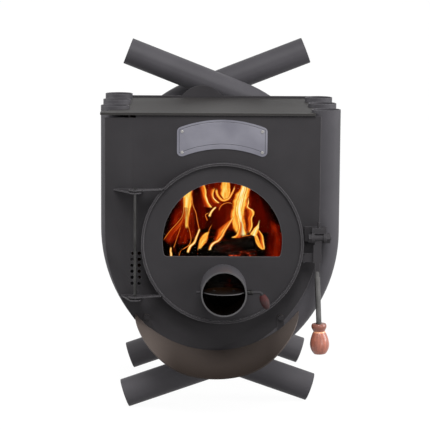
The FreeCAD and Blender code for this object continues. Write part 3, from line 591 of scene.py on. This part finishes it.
# The flap's paint is near black as painted shade inside the pipe; its rim gets the lighter worn paint as a
# painted highlight
shaded_flap_paint = heatproof_paint("flap paint", (0.003, 0.0029, 0.0029), (0.014, 0.0135, 0.0135))
flap_disc = softened("flap_disc", 0.0004, shaded_flap_paint)
coat_faces(flap_disc, worn_and_highlit_paint, lambda middle, normal: abs(normal.z) < 0.8)
softened("flap_spindle", 0.0004, paint)
softened("flap_screws", 0.0008, blued_steel, 3)
softened("flap_knob", 0.0006, knob_wood)

spring_lo, spring_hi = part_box("flap_spring")
spring_middle = (spring_lo + spring_hi) / 2
spring_turns = 6
spring_pitch = (spring_hi.x - spring_lo.x) / (spring_turns + 1)
wire_radius = spring_pitch * 0.46
coil_radius = (spring_hi.z - spring_lo.z) / 2 - wire_radius
bpy.ops.object.select_all(action="DESELECT")
bpy.ops.mesh.primitive_circle_add(vertices=12, radius=wire_radius)
spring = bpy.context.active_object
spring.name = "spring_coil"
bpy.ops.object.mode_set(mode="EDIT")
bpy.ops.mesh.select_all(action="SELECT")
bpy.ops.transform.translate(value=(0.0, coil_radius, 0.0))
bpy.ops.object.mode_set(mode="OBJECT")
apply_modifier(
    spring, "SCREW", axis="X", screw_offset=spring_pitch, iterations=spring_turns,
    steps=32, render_steps=32, use_normal_calculate=True,
)
bpy.ops.object.mode_set(mode="EDIT")
bpy.ops.mesh.select_all(action="DESELECT")
bpy.ops.mesh.select_non_manifold()
bpy.ops.mesh.edge_face_add()
bpy.ops.mesh.select_all(action="SELECT")
bpy.ops.transform.translate(value=(spring_lo.x + spring_pitch / 2, spring_middle.y, spring_middle.z))
bpy.ops.mesh.normals_make_consistent(inside=False)
bpy.ops.object.mode_set(mode="OBJECT")
settle(spring, "air_flap", blued_steel, 50.0)
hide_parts("flap_spring")

# Latch: a forked bracket and pivot bolt on the front plate, and a flat lever on a rod.
# The lever drops in front of a steel tongue welded to the door's rim.

rod_steel = bare_steel("rod steel", (0.13, 0.127, 0.125), 0.44)
for name in ("latch_bracket", "door_tongue"):
    softened(name, 0.0006, paint)
lever = softened("latch_lever", 0.0006, rod_steel)
lever_plate = 0.088
rod_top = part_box("latch_lever")[1].z - lever_plate
coat_faces(lever, paint, lambda middle, normal: middle.z > rod_top)
for name in ("latch_pivot_bolt", "latch_nut"):
    softened(name, 0.0007, paint)

# Handle: a pear-shaped grip turned from hardwood, stained and oiled.
# It is pressed on the lever's rod, and the stain has worn off in its groove.

handle_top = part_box("latch_handle")[1].z
handle_neck = handle_top - 0.0172
handle_shade = handle_top - 0.008
wood_dark = (0.2, 0.066, 0.045)
wood_light = (0.42, 0.14, 0.092)
wood = turned_wood(
    "turned wood", wood_dark, wood_light, handle_neck, handle_shade, 0.3, 0.55, handle_neck,
)
softened("latch_handle", 0.0006, wood)

# Ash lip: a curved steel sheet below the door that catches embers and ash.
# It is bent from sheet and screwed to the front plate by two tabs; its brown tint is painted warm light.

lip_lo, lip_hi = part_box("ash_lip")
tab_depth = 0.006


def lit_lip_paint(name, brown, black):
    # Paint tinted brown as painted warm light, lighter at both sides as painted light and darker in the
    # middle as painted shade under the door, darker towards the front edge, and with darker random clouds
    finish = Finish(name)
    depth = finish.node("SeparateXYZ", {}, {0: finish.place}, "Y")
    cloud = finish.noise(7.0, 4.0, 0.6)
    grain = finish.noise(1400.0, 2.0, 0.6)
    side = abs(finish.node("SeparateXYZ", {}, {0: finish.place}, "X") - pipe_axis.x)
    depth_fade = finish.span(depth + (cloud - 0.5) * 0.03, lip_lo.y, lip_hi.y, 0.0, 0.28)
    # Lighter towards both sides: painted light on the side faces, with painted shade in the middle
    coat = finish.mix(depth_fade + finish.ease(side, 0.09, 0.18, 0.0, 0.6), black, brown)
    smoke = finish.span(cloud * 0.6 + grain * 0.4, 0.32, 0.68, 0.0, 0.35)
    return finish.surface({
        "Base Color": finish.mix(smoke, coat, black),
        "Roughness": finish.span(grain, 0.3, 0.7, 0.46, 0.6),
        "Specular IOR Level": 0.14,
        "Normal": finish.bump(grain, 0.0003, 0.3),
    })


lip_paint = lit_lip_paint("lip paint", (0.18, 0.148, 0.133), (0.017, 0.0122, 0.0099))
lip = softened("ash_lip", 0.0008, lip_paint)
coat_faces(lip, paint, lambda middle, normal: abs(normal.y) > 0.9 and middle.y > lip_hi.y - tab_depth)
softened("ash_lip_screws", 0.0012, paint, 3)

# Name plate: a plain arched plate of satin aluminium with an engraved border line.
# Four domed rivets hold it on the front plate.

plate_lo, plate_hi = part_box("name_plate")
plate_middle_x = (plate_lo.x + plate_hi.x) / 2
plate_half = (plate_hi.x - plate_lo.x) / 2
top_arch = 0.0182
bottom_arch = 0.0211
border_inset = 0.0045


def arc_edge(finish, arch, crown_z):
    # How far a point lies outside an arch, from its rise over the plate's width and its highest point
    radius = (plate_half ** 2 + arch ** 2) / (2 * arch)
    middle = (plate_middle_x, 0.0, crown_z - radius)
    inputs = {0: finish.place, 1: (1.0, 0.0, 1.0)}
    flat = finish.node("VectorMath", {"operation": "MULTIPLY"}, inputs, "Vector")
    return finish.node("VectorMath", {"operation": "DISTANCE"}, {0: flat, 1: middle}, "Value") - radius


def satin_metal(name):
    finish = Finish(name)
    stretch = finish.node("Mapping", {}, {"Vector": finish.place, "Scale": (30.0, 900.0, 900.0)}, "Vector")
    brushed = finish.noise(1.0, 3.0, 0.6, stretch)
    cloud = finish.noise(20.0, 3.0, 0.5)
    side = finish.node("SeparateXYZ", {}, {0: finish.place}, "X")
    side_gap = plate_half - abs(side - plate_middle_x)
    top_gap = 0.0 - arc_edge(finish, top_arch, plate_hi.z)
    bottom_gap = arc_edge(finish, bottom_arch, plate_lo.z + bottom_arch)
    nearest = finish.node("Math", {"operation": "MINIMUM"}, {0: top_gap, 1: bottom_gap})
    nearest = finish.node("Math", {"operation": "MINIMUM"}, {0: nearest, 1: side_gap})
    line = finish.ease(abs(nearest - border_inset), 0.0003, 0.0008, 1.0, 0.0)
    metal = finish.mix(finish.span(cloud, 0.3, 0.7), (0.145, 0.143, 0.17), (0.195, 0.192, 0.222))
    return finish.surface({
        "Base Color": finish.mix(line, metal, (0.045, 0.045, 0.05)),
        "Metallic": finish.span(cloud, 0.0, 1.0, 0.7, 0.8),
        "Roughness": finish.span(brushed, 0.3, 0.7, 0.38, 0.52),
        "Normal": finish.bump(brushed * 0.2 - line, 0.0004, 0.5),
    })


badge_metal = satin_metal("satin metal")
softened("name_plate", 0.0003, badge_metal)
softened("name_plate_rivets", 0.0012, steel, 3)

# Flue outlet: a steel collar welded through the rear plate, for the stove pipe.
# A vented damper disc turns in it on a spindle, with two screws and a wooden knob.

softened("flue_collar", 0.0006, paint)
softened("damper_disc", 0.0004, soot)
softened("damper_spindle", 0.0005, steel)
softened("damper_screws", 0.0008, steel, 3)
softened("damper_knob", 0.0006, knob_wood)

# Fire: split logs burning on a bed of ash, with embers in their cracks and flames above.
# It lies in the belly of the shell and stays with the stove.

hearth = Vector((0.0, shell_lo.y, 0.0))
bed_half_width = 0.112
bed_edge_z = 0.204
bed_crown = 0.03
bed_front = shell_lo.y + 0.006
bed_rear = shell_hi.y - 0.006
bed_gap = 0.001
heap_height = 0.009
crumb_height = 0.003


def ash_and_embers(name):
    finish = Finish(name)
    lump = finish.noise(55.0, 5.0, 0.65)
    dust = finish.noise(500.0, 3.0, 0.6)
    spark = finish.span(finish.noise(38.0, 4.0, 0.6), 0.56, 0.7)
    pale = finish.span(lump * 0.7 + dust * 0.3, 0.35, 0.65)
    return finish.surface({
        "Base Color": finish.mix(pale, (0.012, 0.011, 0.01), (0.1, 0.09, 0.085)),
        "Roughness": finish.span(dust, 0.3, 0.7, 0.85, 1.0),
        "Specular IOR Level": 0.03,
        "Emission Color": finish.mix(spark, (0.0, 0.0, 0.0), (1.0, 0.16, 0.02)),
        "Emission Strength": 0.06,
        "Normal": finish.bump(lump, 0.004, 0.6),
    })


bpy.ops.object.select_all(action="DESELECT")
bpy.ops.mesh.primitive_cube_add(size=1.0)
bed = bpy.context.active_object
bed.name = "ash_bed"
bpy.ops.object.mode_set(mode="EDIT")
bpy.ops.mesh.select_all(action="SELECT")
bpy.ops.mesh.subdivide(number_cuts=40)
bpy.ops.object.mode_set(mode="OBJECT")
for vertex in bed.data.vertices:
    share = 2 * vertex.co.x
    x = share * bed_half_width
    y = bed_front + (vertex.co.y + 0.5) * (bed_rear - bed_front)
    belly = belly_middle_z - math.sqrt(belly_radius ** 2 - (abs(x) + belly_middle_x) ** 2)
    low = belly + bed_gap
    heap = noise.noise(Vector((x, y, 0.0)) * 30.0) * heap_height
    crumbs = noise.noise(Vector((x, y, 0.3)) * 110.0) * crumb_height
    high = bed_edge_z + bed_crown * (1 - share ** 2) + (heap + crumbs) * (1 - share ** 6)
    vertex.co = (x, y, low + (vertex.co.z + 0.5) * (high - low))
settle(bed, "stove", ash_and_embers("ash and embers"), smooth=60.0)


def charred_wood(name):
    # Burnt wood: black scales with grey ash on them, and cracks that still glow
    finish = Finish(name)
    scale = finish.noise(90.0, 4.0, 0.6)
    ember = finish.node("Attribute", {"attribute_name": "ember"}, output="Fac")
    glow_stops = [
        (0.0, (0.0, 0.0, 0.0)), (0.35, (0.05, 0.002, 0.0)),
        (0.7, (0.7, 0.06, 0.012)), (1.0, (1.0, 0.36, 0.2)),
    ]
    heat = ember * finish.span(scale, 0.3, 0.65)
    glow = finish.node("ValToRGB", {"stops": glow_stops}, {"Fac": heat}, "Color")
    ashen = finish.span(scale, 0.5, 0.72)
    return finish.surface({
        "Base Color": finish.mix(ashen, (0.003, 0.0028, 0.0028), (0.012, 0.011, 0.0105)),
        "Roughness": finish.span(scale, 0.3, 0.7, 0.75, 0.98),
        "Specular IOR Level": 0.03,
        "Emission Color": glow,
        "Emission Strength": 1.3,
        "Normal": finish.bump(scale, 0.002, 0.6),
    })


char = charred_wood("charred wood")
millimetre = 0.001
log_voxel = 0.0032
crack_width = 0.22
crack_depth = 0.0035
swell_depth = 0.006
scales_across = 62
scales_along = 34


def log(name, start, end, radius, heat):
    # A split log: a rounded wedge, remeshed and then burnt into scales with cracks between them
    start = Vector(start) * millimetre + hearth
    end = Vector(end) * millimetre + hearth
    radius *= millimetre
    line = end - start
    bpy.ops.object.select_all(action="DESELECT")
    bpy.ops.mesh.primitive_cylinder_add(vertices=24, radius=radius, depth=line.length)
    piece = bpy.context.active_object
    piece.name = name
    bpy.ops.object.mode_set(mode="EDIT")
    bpy.ops.mesh.select_all(action="SELECT")
    bpy.ops.mesh.bisect(
        plane_co=(0.0, -0.55 * radius, 0.0), plane_no=(0.25, -1.0, 0.0), use_fill=True, clear_outer=True,
    )
    bpy.ops.mesh.select_all(action="SELECT")
    bpy.ops.mesh.bevel(offset=0.12 * radius, segments=2, affect="EDGES")
    bpy.ops.object.mode_set(mode="OBJECT")
    apply_modifier(piece, "REMESH", mode="VOXEL", voxel_size=log_voxel)
    turn = line.to_track_quat("Z", "Y").to_matrix()
    middle = (start + end) / 2
    ember = piece.data.attributes.new("ember", "FLOAT", "POINT")
    for vertex, glow in zip(piece.data.vertices, ember.data):
        x, y, z = vertex.co
        grain = Vector((x * scales_across, y * scales_across, z * scales_along)) + middle * 40
        near = noise.voronoi(grain)[0]
        crack = max(0.0, 1 - (near[1] - near[0]) / crack_width)
        swell = noise.noise(grain * 0.35) * swell_depth
        shrink = 1 - (crack_depth * crack - swell) / radius
        warm = noise.noise(grain * 0.5 + Vector((7.0, 0.0, 0.0))) + heat
        glow.value = max(0.0, min(1.0, crack * warm))
        vertex.co = turn @ Vector((x * shrink, y * shrink, z)) + middle
    return settle(piece, "stove", char, smooth=50.0)


log("log_left", (-62, 35, 262), (-40, 300, 258), 40, -0.3)
log("log_right", (62, 45, 264), (48, 315, 260), 42, -0.3)
log("log_middle", (2, 50, 268), (6, 320, 262), 34, -0.3)
log("log_across", (-40, 105, 296), (82, 92, 325), 30, -0.2)
log("log_behind", (-98, 190, 316), (70, 240, 322), 30, 0.2)
log("log_leaning", (-108, 140, 280), (-24, 82, 292), 22, 0.1)
log("log_front", (-88, 34, 226), (92, 28, 234), 34, -0.3)
log("log_ember", (22, 66, 311), (79, 62, 321), 11, 0.9)

# Flames: thin glowing sheets between two drawn edges, each with one hot line and soft sides.
# Each stands over a log, and the whole group stays in the firebox.


def flame(name, peak, flat, body, rim, cover):
    # The hot line lies at a share of the sheet's width, with a flat stretch and then a fall to both sides.
    # Body and rim are the heat of the sheet and of that line, and cover is how much it hides behind it
    finish = Finish(name)
    axes = finish.node("TexCoord", output="UV")
    across = finish.node("SeparateXYZ", {}, {0: axes}, "X")
    along = finish.node("SeparateXYZ", {}, {0: axes}, "Y")
    curl = finish.noise(70.0, 3.0, 0.55) - 0.5
    stretched = finish.node("Mapping", {}, {"Vector": axes, "Scale": (3.2, 1.1, 1.0)}, "Vector")
    inputs = {0: finish.place, 1: (9.0, 9.0, 9.0), 2: stretched}
    shifted = finish.node("VectorMath", {"operation": "MULTIPLY_ADD"}, inputs, "Vector")
    lick = finish.span(finish.noise(1.5, 4.0, 0.6, shifted), 0.34, 0.66)
    side = across + curl * 0.3
    wide = finish.ease(side, 0.0, peak - flat) * finish.ease(side, peak + flat, 1.0, 1.0, 0.0)
    thin = finish.ease(abs(side - peak), 0.0, 0.17, 1.0, 0.0)
    ends = finish.ease(along, 0.0, 0.1) * finish.ease(along + curl * 0.3, 0.74, 1.0, 1.0, 0.0)
    heat = (0.42 * body + wide * (0.58 * body) + thin * rim) * (0.72 + lick * 0.36)
    colour_stops = [
        (0.0, (0.004, 0.0, 0.0)), (0.18, (0.1, 0.002, 0.0)), (0.36, (0.42, 0.022, 0.002)),
        (0.54, (0.88, 0.18, 0.012)), (0.7, (1.0, 0.42, 0.04)), (0.85, (1.0, 0.75, 0.17)),
        (1.0, (1.0, 0.94, 0.62)),
    ]
    colour = finish.node("ValToRGB", {"stops": colour_stops}, {"Fac": heat}, "Color")
    material = finish.surface({
        "Base Color": (0.0, 0.0, 0.0),
        "Roughness": 1.0,
        "Specular IOR Level": 0.0,
        "Emission Color": colour,
        "Emission Strength": 1.0,
        "Alpha": finish.span(wide * ends * (0.6 + lick * 0.6), 0.0, 1.0 / cover),
    })
    material.cycles.emission_sampling = "NONE"
    return material


thread = flame("flame thread", 0.5, 0.05, 0.45, 0.4, 1.5)
hot_thread = flame("hot thread", 0.5, 0.2, 0.68, 0.3, 2.0)
white_thread = flame("white thread", 0.5, 0.2, 0.85, 0.35, 2.2)
sheet_flame = flame("sheet flame", 0.16, 0.08, 0.6, 0.3, 1.5)
orange_sheet = flame("orange sheet", 0.2, 0.1, 0.34, 0.08, 0.75)
yellow_flame = flame("yellow flame", 0.5, 0.24, 0.84, 0.0, 2.0)
white_flame = flame("white flame", 0.5, 0.22, 0.96, 0.08, 2.4)
# The red and dim veils glow in place of the firelit walls behind the flames: painted light
red_backdrop_glow = flame("red veil", 0.5, 0.1, 0.25, 0.0, 0.9)
glow_veil = flame("glow veil", 0.5, 0.1, 0.3, 0.0, 0.7)
dim_backdrop_glow = flame("dim veil", 0.5, 0.1, 0.17, 0.0, 0.75)


def smooth_line(points, share):
    # The place at a share of the way along a smooth line through the points
    reach = share * (len(points) - 1)
    first = min(int(reach), len(points) - 2)
    rest = reach - first
    before = points[max(first - 1, 0)]
    start = points[first]
    end = points[first + 1]
    after = points[min(first + 2, len(points) - 1)]
    place = []
    for back, here, there, ahead in zip(before, start, end, after):
        bend = (2 * back - 5 * here + 4 * there - ahead) * rest ** 2
        bend += (3 * here - back - 3 * there + ahead) * rest ** 3
        place.append(0.5 * (2 * here + (there - back) * rest + bend))
    return place


def tongue(name, depth, material, left, right):
    # A bowed sheet at a depth behind the shell's front edge, between two lines of (x, z) in millimetres
    bpy.ops.object.select_all(action="DESELECT")
    bpy.ops.mesh.primitive_grid_add(x_subdivisions=12, y_subdivisions=48, size=1.0)
    piece = bpy.context.active_object
    piece.name = name
    for vertex in piece.data.vertices:
        across = vertex.co.x + 0.5
        along = vertex.co.y + 0.5
        left_x, left_z = smooth_line(left, along)
        right_x, right_z = smooth_line(right, along)
        width = math.hypot(right_x - left_x, right_z - left_z)
        bow = math.sin(math.pi * across) * width * 0.25 + 4 * math.sin(5 * along + depth)
        x = left_x + (right_x - left_x) * across
        z = left_z + (right_z - left_z) * across
        vertex.co = Vector((x, depth - bow, z)) * millimetre + hearth
    return settle(piece, "stove", material, smooth=180.0)


def ribbon(name, depth, material, width, path):
    # A narrow tongue along a line, square to it and drawn out to a point at its tip
    left = []
    right = []
    for number, (x, z) in enumerate(path):
        ahead = path[min(number + 1, len(path) - 1)]
        behind = path[max(number - 1, 0)]
        run = Vector((ahead[0] - behind[0], ahead[1] - behind[1])).normalized()
        half = width / 2 * (1 - 0.5 * number / len(path))
        left.append((x - run.y * half, z + run.x * half))
        right.append((x + run.y * half, z - run.x * half))
    return tongue(name, depth, material, left, right)


tongue(
    "flame_left_glow", 190, red_backdrop_glow,
    [(-120, 327), (-112, 364), (-96, 405)],
    [(-66, 327), (-70, 364), (-69, 405)],
)
tongue(
    "flame_right_glow", 150, red_backdrop_glow,
    [(95, 295), (97, 326), (100, 356), (105, 380)],
    [(149, 295), (148, 326), (144, 356), (124, 380)],
)
tongue(
    "flame_deep_middle", 185, dim_backdrop_glow,
    [(-64, 346), (-58, 384), (-54, 436)],
    [(-13, 359), (-15, 393), (-26, 436)],
)
tongue(
    "flame_deep_centre", 200, dim_backdrop_glow,
    [(-34, 350), (-36, 380), (-40, 410), (-44, 446)],
    [(52, 352), (50, 380), (46, 410), (40, 446)],
)
tongue(
    "flame_deep_right", 180, dim_backdrop_glow,
    [(58, 347), (64, 386), (63, 437)],
    [(126, 347), (121, 386), (93, 438)],
)
tongue(
    "flame_middle_glow", 174, glow_veil,
    [(-4, 352), (-2, 384), (0, 416), (2, 448), (4, 480)],
    [(92, 352), (92, 384), (92, 416), (90, 448), (88, 480)],
)
tongue(
    "flame_top_glow", 170, glow_veil,
    [(-50, 404), (-52, 426), (-54, 450), (-56, 476)],
    [(30, 404), (36, 426), (40, 450), (42, 476)],
)
tongue(
    "flame_left_haze", 150, glow_veil,
    [(-96, 336), (-94, 376), (-96, 416), (-98, 456)],
    [(-36, 336), (-38, 376), (-40, 416), (-42, 456)],
)
tongue(
    "flame_left_fill", 124, red_backdrop_glow,
    [(-98, 329), (-86, 352), (-78, 374), (-75, 395), (-76, 416)],
    [(-58, 329), (-58, 352), (-62, 374), (-62, 395), (-58, 416)],
)
tongue(
    "flame_left_sheet", 106, orange_sheet,
    [(-118, 340), (-105, 360), (-93, 373), (-82, 386), (-76, 399), (-75, 417), (-76, 440)],
    [(-96, 323), (-87, 341), (-77, 355), (-66, 372), (-62, 394), (-60, 417), (-60, 440)],
)
tongue(
    "flame_left_core", 104, yellow_flame,
    [(-72, 366), (-74, 390), (-76, 407), (-77, 421), (-78, 436), (-80, 451), (-83, 472)],
    [(-65, 366), (-62, 390), (-59, 407), (-55, 422), (-54, 436), (-53, 451), (-51, 472)],
)
ribbon(
    "flame_left_edge", 100, thread, 3.1,
    [(-118, 341), (-105, 360), (-93, 374), (-82, 387), (-76, 399), (-75, 418), (-76, 439), (-78, 456)],
)
ribbon(
    "flame_left_inner", 98, thread, 3.1,
    [(-79, 321), (-64, 331), (-59, 342), (-61, 359), (-65, 376), (-65, 391), (-63, 405)],
)
ribbon(
    "flame_left_fold", 96, white_thread, 7.8,
    [(-66, 316), (-60, 330), (-52, 337), (-47, 350), (-42, 363), (-41, 368)],
)
ribbon(
    "flame_left_side", 98, thread, 3.5,
    [(-41, 364), (-44, 376), (-46, 386), (-49, 402), (-55, 418), (-57, 435), (-58, 450)],
)
ribbon("flame_left_faint", 100, thread, 2.3, [(-96, 324), (-89, 346), (-83, 365), (-79, 382), (-76, 397)])
ribbon("flame_far_left", 92, white_thread, 7.0, [(-101, 308), (-101, 315), (-102, 321), (-101, 330)])
ribbon("flame_near_left", 92, thread, 2.1, [(-84, 309), (-83, 315), (-79, 324)])
tongue(
    "flame_upper_left", 124, sheet_flame,
    [(-13, 408), (-20, 419), (-24, 431), (-26, 444), (-31, 460), (-35, 474)],
    [(-31, 408), (-37, 421), (-41, 434), (-43, 446), (-45, 460), (-48, 474)],
)
tongue(
    "flame_upper_middle", 126, sheet_flame,
    [(3, 419), (-5, 425), (-11, 433), (-9, 444), (-7, 451)],
    [(-12, 417), (-17, 425), (-20, 434), (-22, 444), (-21, 453)],
)
ribbon("flame_curl", 112, white_thread, 7.0, [(-20, 391), (-17, 400), (-13, 406), (-6, 412)])
ribbon("flame_small_curl", 112, thread, 4.1, [(-24, 382), (-27, 390), (-28, 396), (-21, 399)])
tongue(
    "flame_top_blob", 128, yellow_flame,
    [(11, 425), (3, 435), (1, 448), (2, 461), (4, 476)],
    [(20, 425), (26, 436), (28, 448), (26, 461), (23, 476)],
)
ribbon(
    "flame_loop", 114, hot_thread, 8.2,
    [(-6, 451), (-3, 438), (4, 429), (11, 426), (20, 429), (26, 437), (31, 448), (34, 459)],
)
ribbon("flame_arc", 116, thread, 4.1, [(0, 404), (4, 413), (13, 419), (22, 421), (30, 418)])
tongue(
    "flame_main", 110, yellow_flame,
    [(30, 357), (26, 377), (22, 391), (25, 406), (27, 421), (32, 438), (41, 451), (45, 463), (48, 482)],
    [(66, 353), (60, 370), (57, 387), (58, 404), (62, 421), (65, 438), (67, 451), (69, 464), (71, 483)],
)
tongue(
    "flame_main_core", 98, white_flame,
    [(37, 352), (40, 370), (38, 387), (33, 404), (35, 421), (41, 440), (46, 457), (50, 478)],
    [(63, 351), (56, 370), (52, 387), (51, 404), (52, 421), (56, 440), (60, 457), (63, 478)],
)
tongue(
    "flame_main_edge", 94, sheet_flame,
    [(23, 349), (33, 354), (39, 363), (42, 374), (40, 390)],
    [(55, 349), (55, 357), (54, 365), (53, 374), (51, 390)],
)
ribbon("flame_main_foot", 92, thread, 3.3, [(48, 351), (59, 354), (72, 357)])
tongue(
    "flame_right_lobe", 118, sheet_flame,
    [(67, 354), (73, 371), (72, 387), (77, 397), (74, 406), (63, 412), (65, 423), (62, 439)],
    [(56, 354), (58, 371), (56, 387), (55, 397), (54, 406), (51, 412), (51, 423), (51, 439)],
)
tongue(
    "flame_white_tip", 92, white_flame,
    [(64, 356), (69, 364), (75, 372), (82, 379), (85, 388)],
    [(81, 351), (84, 360), (85, 369), (85, 377), (86, 388)],
)
tongue(
    "flame_white_tail", 94, yellow_flame,
    [(93, 322), (84, 329), (78, 337), (73, 346), (71, 358)],
    [(95, 325), (91, 334), (87, 343), (84, 352), (82, 362)],
)
tongue(
    "flame_right_edge", 102, sheet_flame,
    [(98, 322), (97, 340), (93, 354), (85, 366)],
    [(87, 324), (83, 340), (81, 354), (78, 366)],
)
ribbon("flame_slant_root", 90, white_thread, 9.0, [(-19, 322), (-16, 332), (-10, 338), (-1, 343), (7, 354)])
ribbon("flame_slant", 94, hot_thread, 8.6, [(-2, 341), (6, 352), (14, 367), (24, 382), (32, 395)])
tongue(
    "flame_slant_sheet", 104, sheet_flame,
    [(0, 340), (8, 351), (15, 366), (25, 381), (31, 391)],
    [(-14, 340), (-11, 354), (-7, 367), (7, 377), (22, 387)],
)
tongue(
    "flame_small", 92, yellow_flame,
    [(-44, 324), (-43, 339), (-40, 351), (-32, 359), (-24, 362)],
    [(-39, 324), (-29, 334), (-24, 340), (-21, 354), (-19, 364)],
)
ribbon("flame_small_tip", 90, thread, 3.3, [(-28, 338), (-24, 354), (-20, 367), (-14, 379)])
ribbon("flame_small_left", 90, thread, 2.7, [(-44, 313), (-44, 324), (-42, 338), (-39, 351)])

glow_place = hearth + Vector((0.03, 0.18, 0.40))
glow_watts = 0.08
bpy.ops.object.light_add(type="POINT", location=glow_place)
glow = bpy.context.active_object
glow.name = "fire_glow"
glow.data.energy = glow_watts
glow.data.color = (1.0, 0.3, 0.06)
glow.data.shadow_soft_size = 0.04
glow.visible_camera = False
glow.visible_transmission = False

# Studio: a pale floor that runs into a white backdrop, soft boxes at both sides, above and in front.
# The camera stands where the photograph was taken.

floor_reach = 30.0
floor_glow = 0.73
floor_white = 1.3
ambient = 0.53


def straight_ray(tree):
    # At least one for a ray from the camera, off a mirror or through glass, and zero for scattered light
    seen = tree.node("LightPath", output="Is Camera Ray")
    mirrored = tree.node("LightPath", output="Is Glossy Ray")
    through = tree.node("LightPath", output="Is Transmission Ray")
    return tree.node("Math", {"operation": "MAXIMUM"}, {0: seen, 1: mirrored + through})


bpy.ops.object.select_all(action="DESELECT")
bpy.ops.mesh.primitive_plane_add(size=2 * floor_reach)
floor = bpy.context.active_object
floor.name = "studio_floor"
floor_paint = Finish("studio floor")
speckle = floor_paint.noise(3.0, 2.0)
floor_paint.surface({
    "Base Color": floor_paint.mix(speckle, (0.24, 0.24, 0.24), (0.27, 0.27, 0.27)),
    "Roughness": 0.8,
})
lit = Socket(floor_paint, floor_paint.shader.outputs["BSDF"])
white = floor_paint.node("Emission", {}, {"Color": (1.0, 1.0, 1.0), "Strength": floor_white})
blend = floor_paint.node("MixShader", {}, {0: straight_ray(floor_paint) * floor_glow, 1: lit, 2: white})
floor_paint.feed(floor_paint.tree.nodes["Material Output"].inputs["Surface"], blend)
floor.data.materials.append(floor_paint.material)

world = bpy.data.worlds.new("studio")
bpy.context.scene.world = world
world.use_nodes = True
sky = NodeTree(world.node_tree)
backdrop = sky.tree.nodes["Background"]
level = sky.node("MapRange", {}, {"Value": straight_ray(sky), "To Min": ambient, "To Max": 1.0})
sky.feed(backdrop.inputs["Color"], (1.0, 1.0, 1.0))
sky.feed(backdrop.inputs["Strength"], level)

stove_middle = Vector((0.0, 0.0, 0.35))


def soft_box(name, place, size, watts):
    bpy.ops.object.light_add(type="AREA", location=place)
    lamp = bpy.context.active_object
    lamp.name = name
    lamp.data.size = size
    lamp.data.energy = watts
    lamp.rotation_euler = (stove_middle - Vector(place)).to_track_quat("-Z", "Y").to_euler()


soft_box("right_box", (2.7, -0.5, 1.2), 1.4, 68.0)
soft_box("left_box", (-2.7, -0.2, 0.8), 1.2, 33.0)
soft_box("top_box", (0.1, -1.9, 2.6), 1.6, 80.0)
soft_box("front_box", (1.7, -3.2, 0.7), 1.2, 20.0)

tube_lo, tube_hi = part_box("air_tube_1")
camera_x = -0.06984
camera_back = 4.0815
camera_z = 0.9963
camera_pitch = math.radians(8.47)
camera_yaw = math.radians(0.85)
camera_roll = math.radians(0.39)
bpy.ops.object.camera_add()
camera = bpy.context.active_object
camera.name = "photo_camera"
camera.data.sensor_width = 36.0
camera.data.lens = 166.0
camera.data.shift_y = 0.02105
camera.data.clip_end = 100.0
turn = Matrix.Rotation(-camera_yaw, 4, "Z") @ Matrix.Rotation(math.pi / 2 - camera_pitch, 4, "X")
turn = turn @ Matrix.Rotation(camera_roll, 4, "Z")
place = Vector((camera_x, (tube_lo.y + tube_hi.y) / 2 - camera_back, camera_z))
camera.matrix_world = Matrix.Translation(place) @ turn
bpy.context.scene.camera = camera
bpy.context.scene.view_settings.view_transform = "Standard"
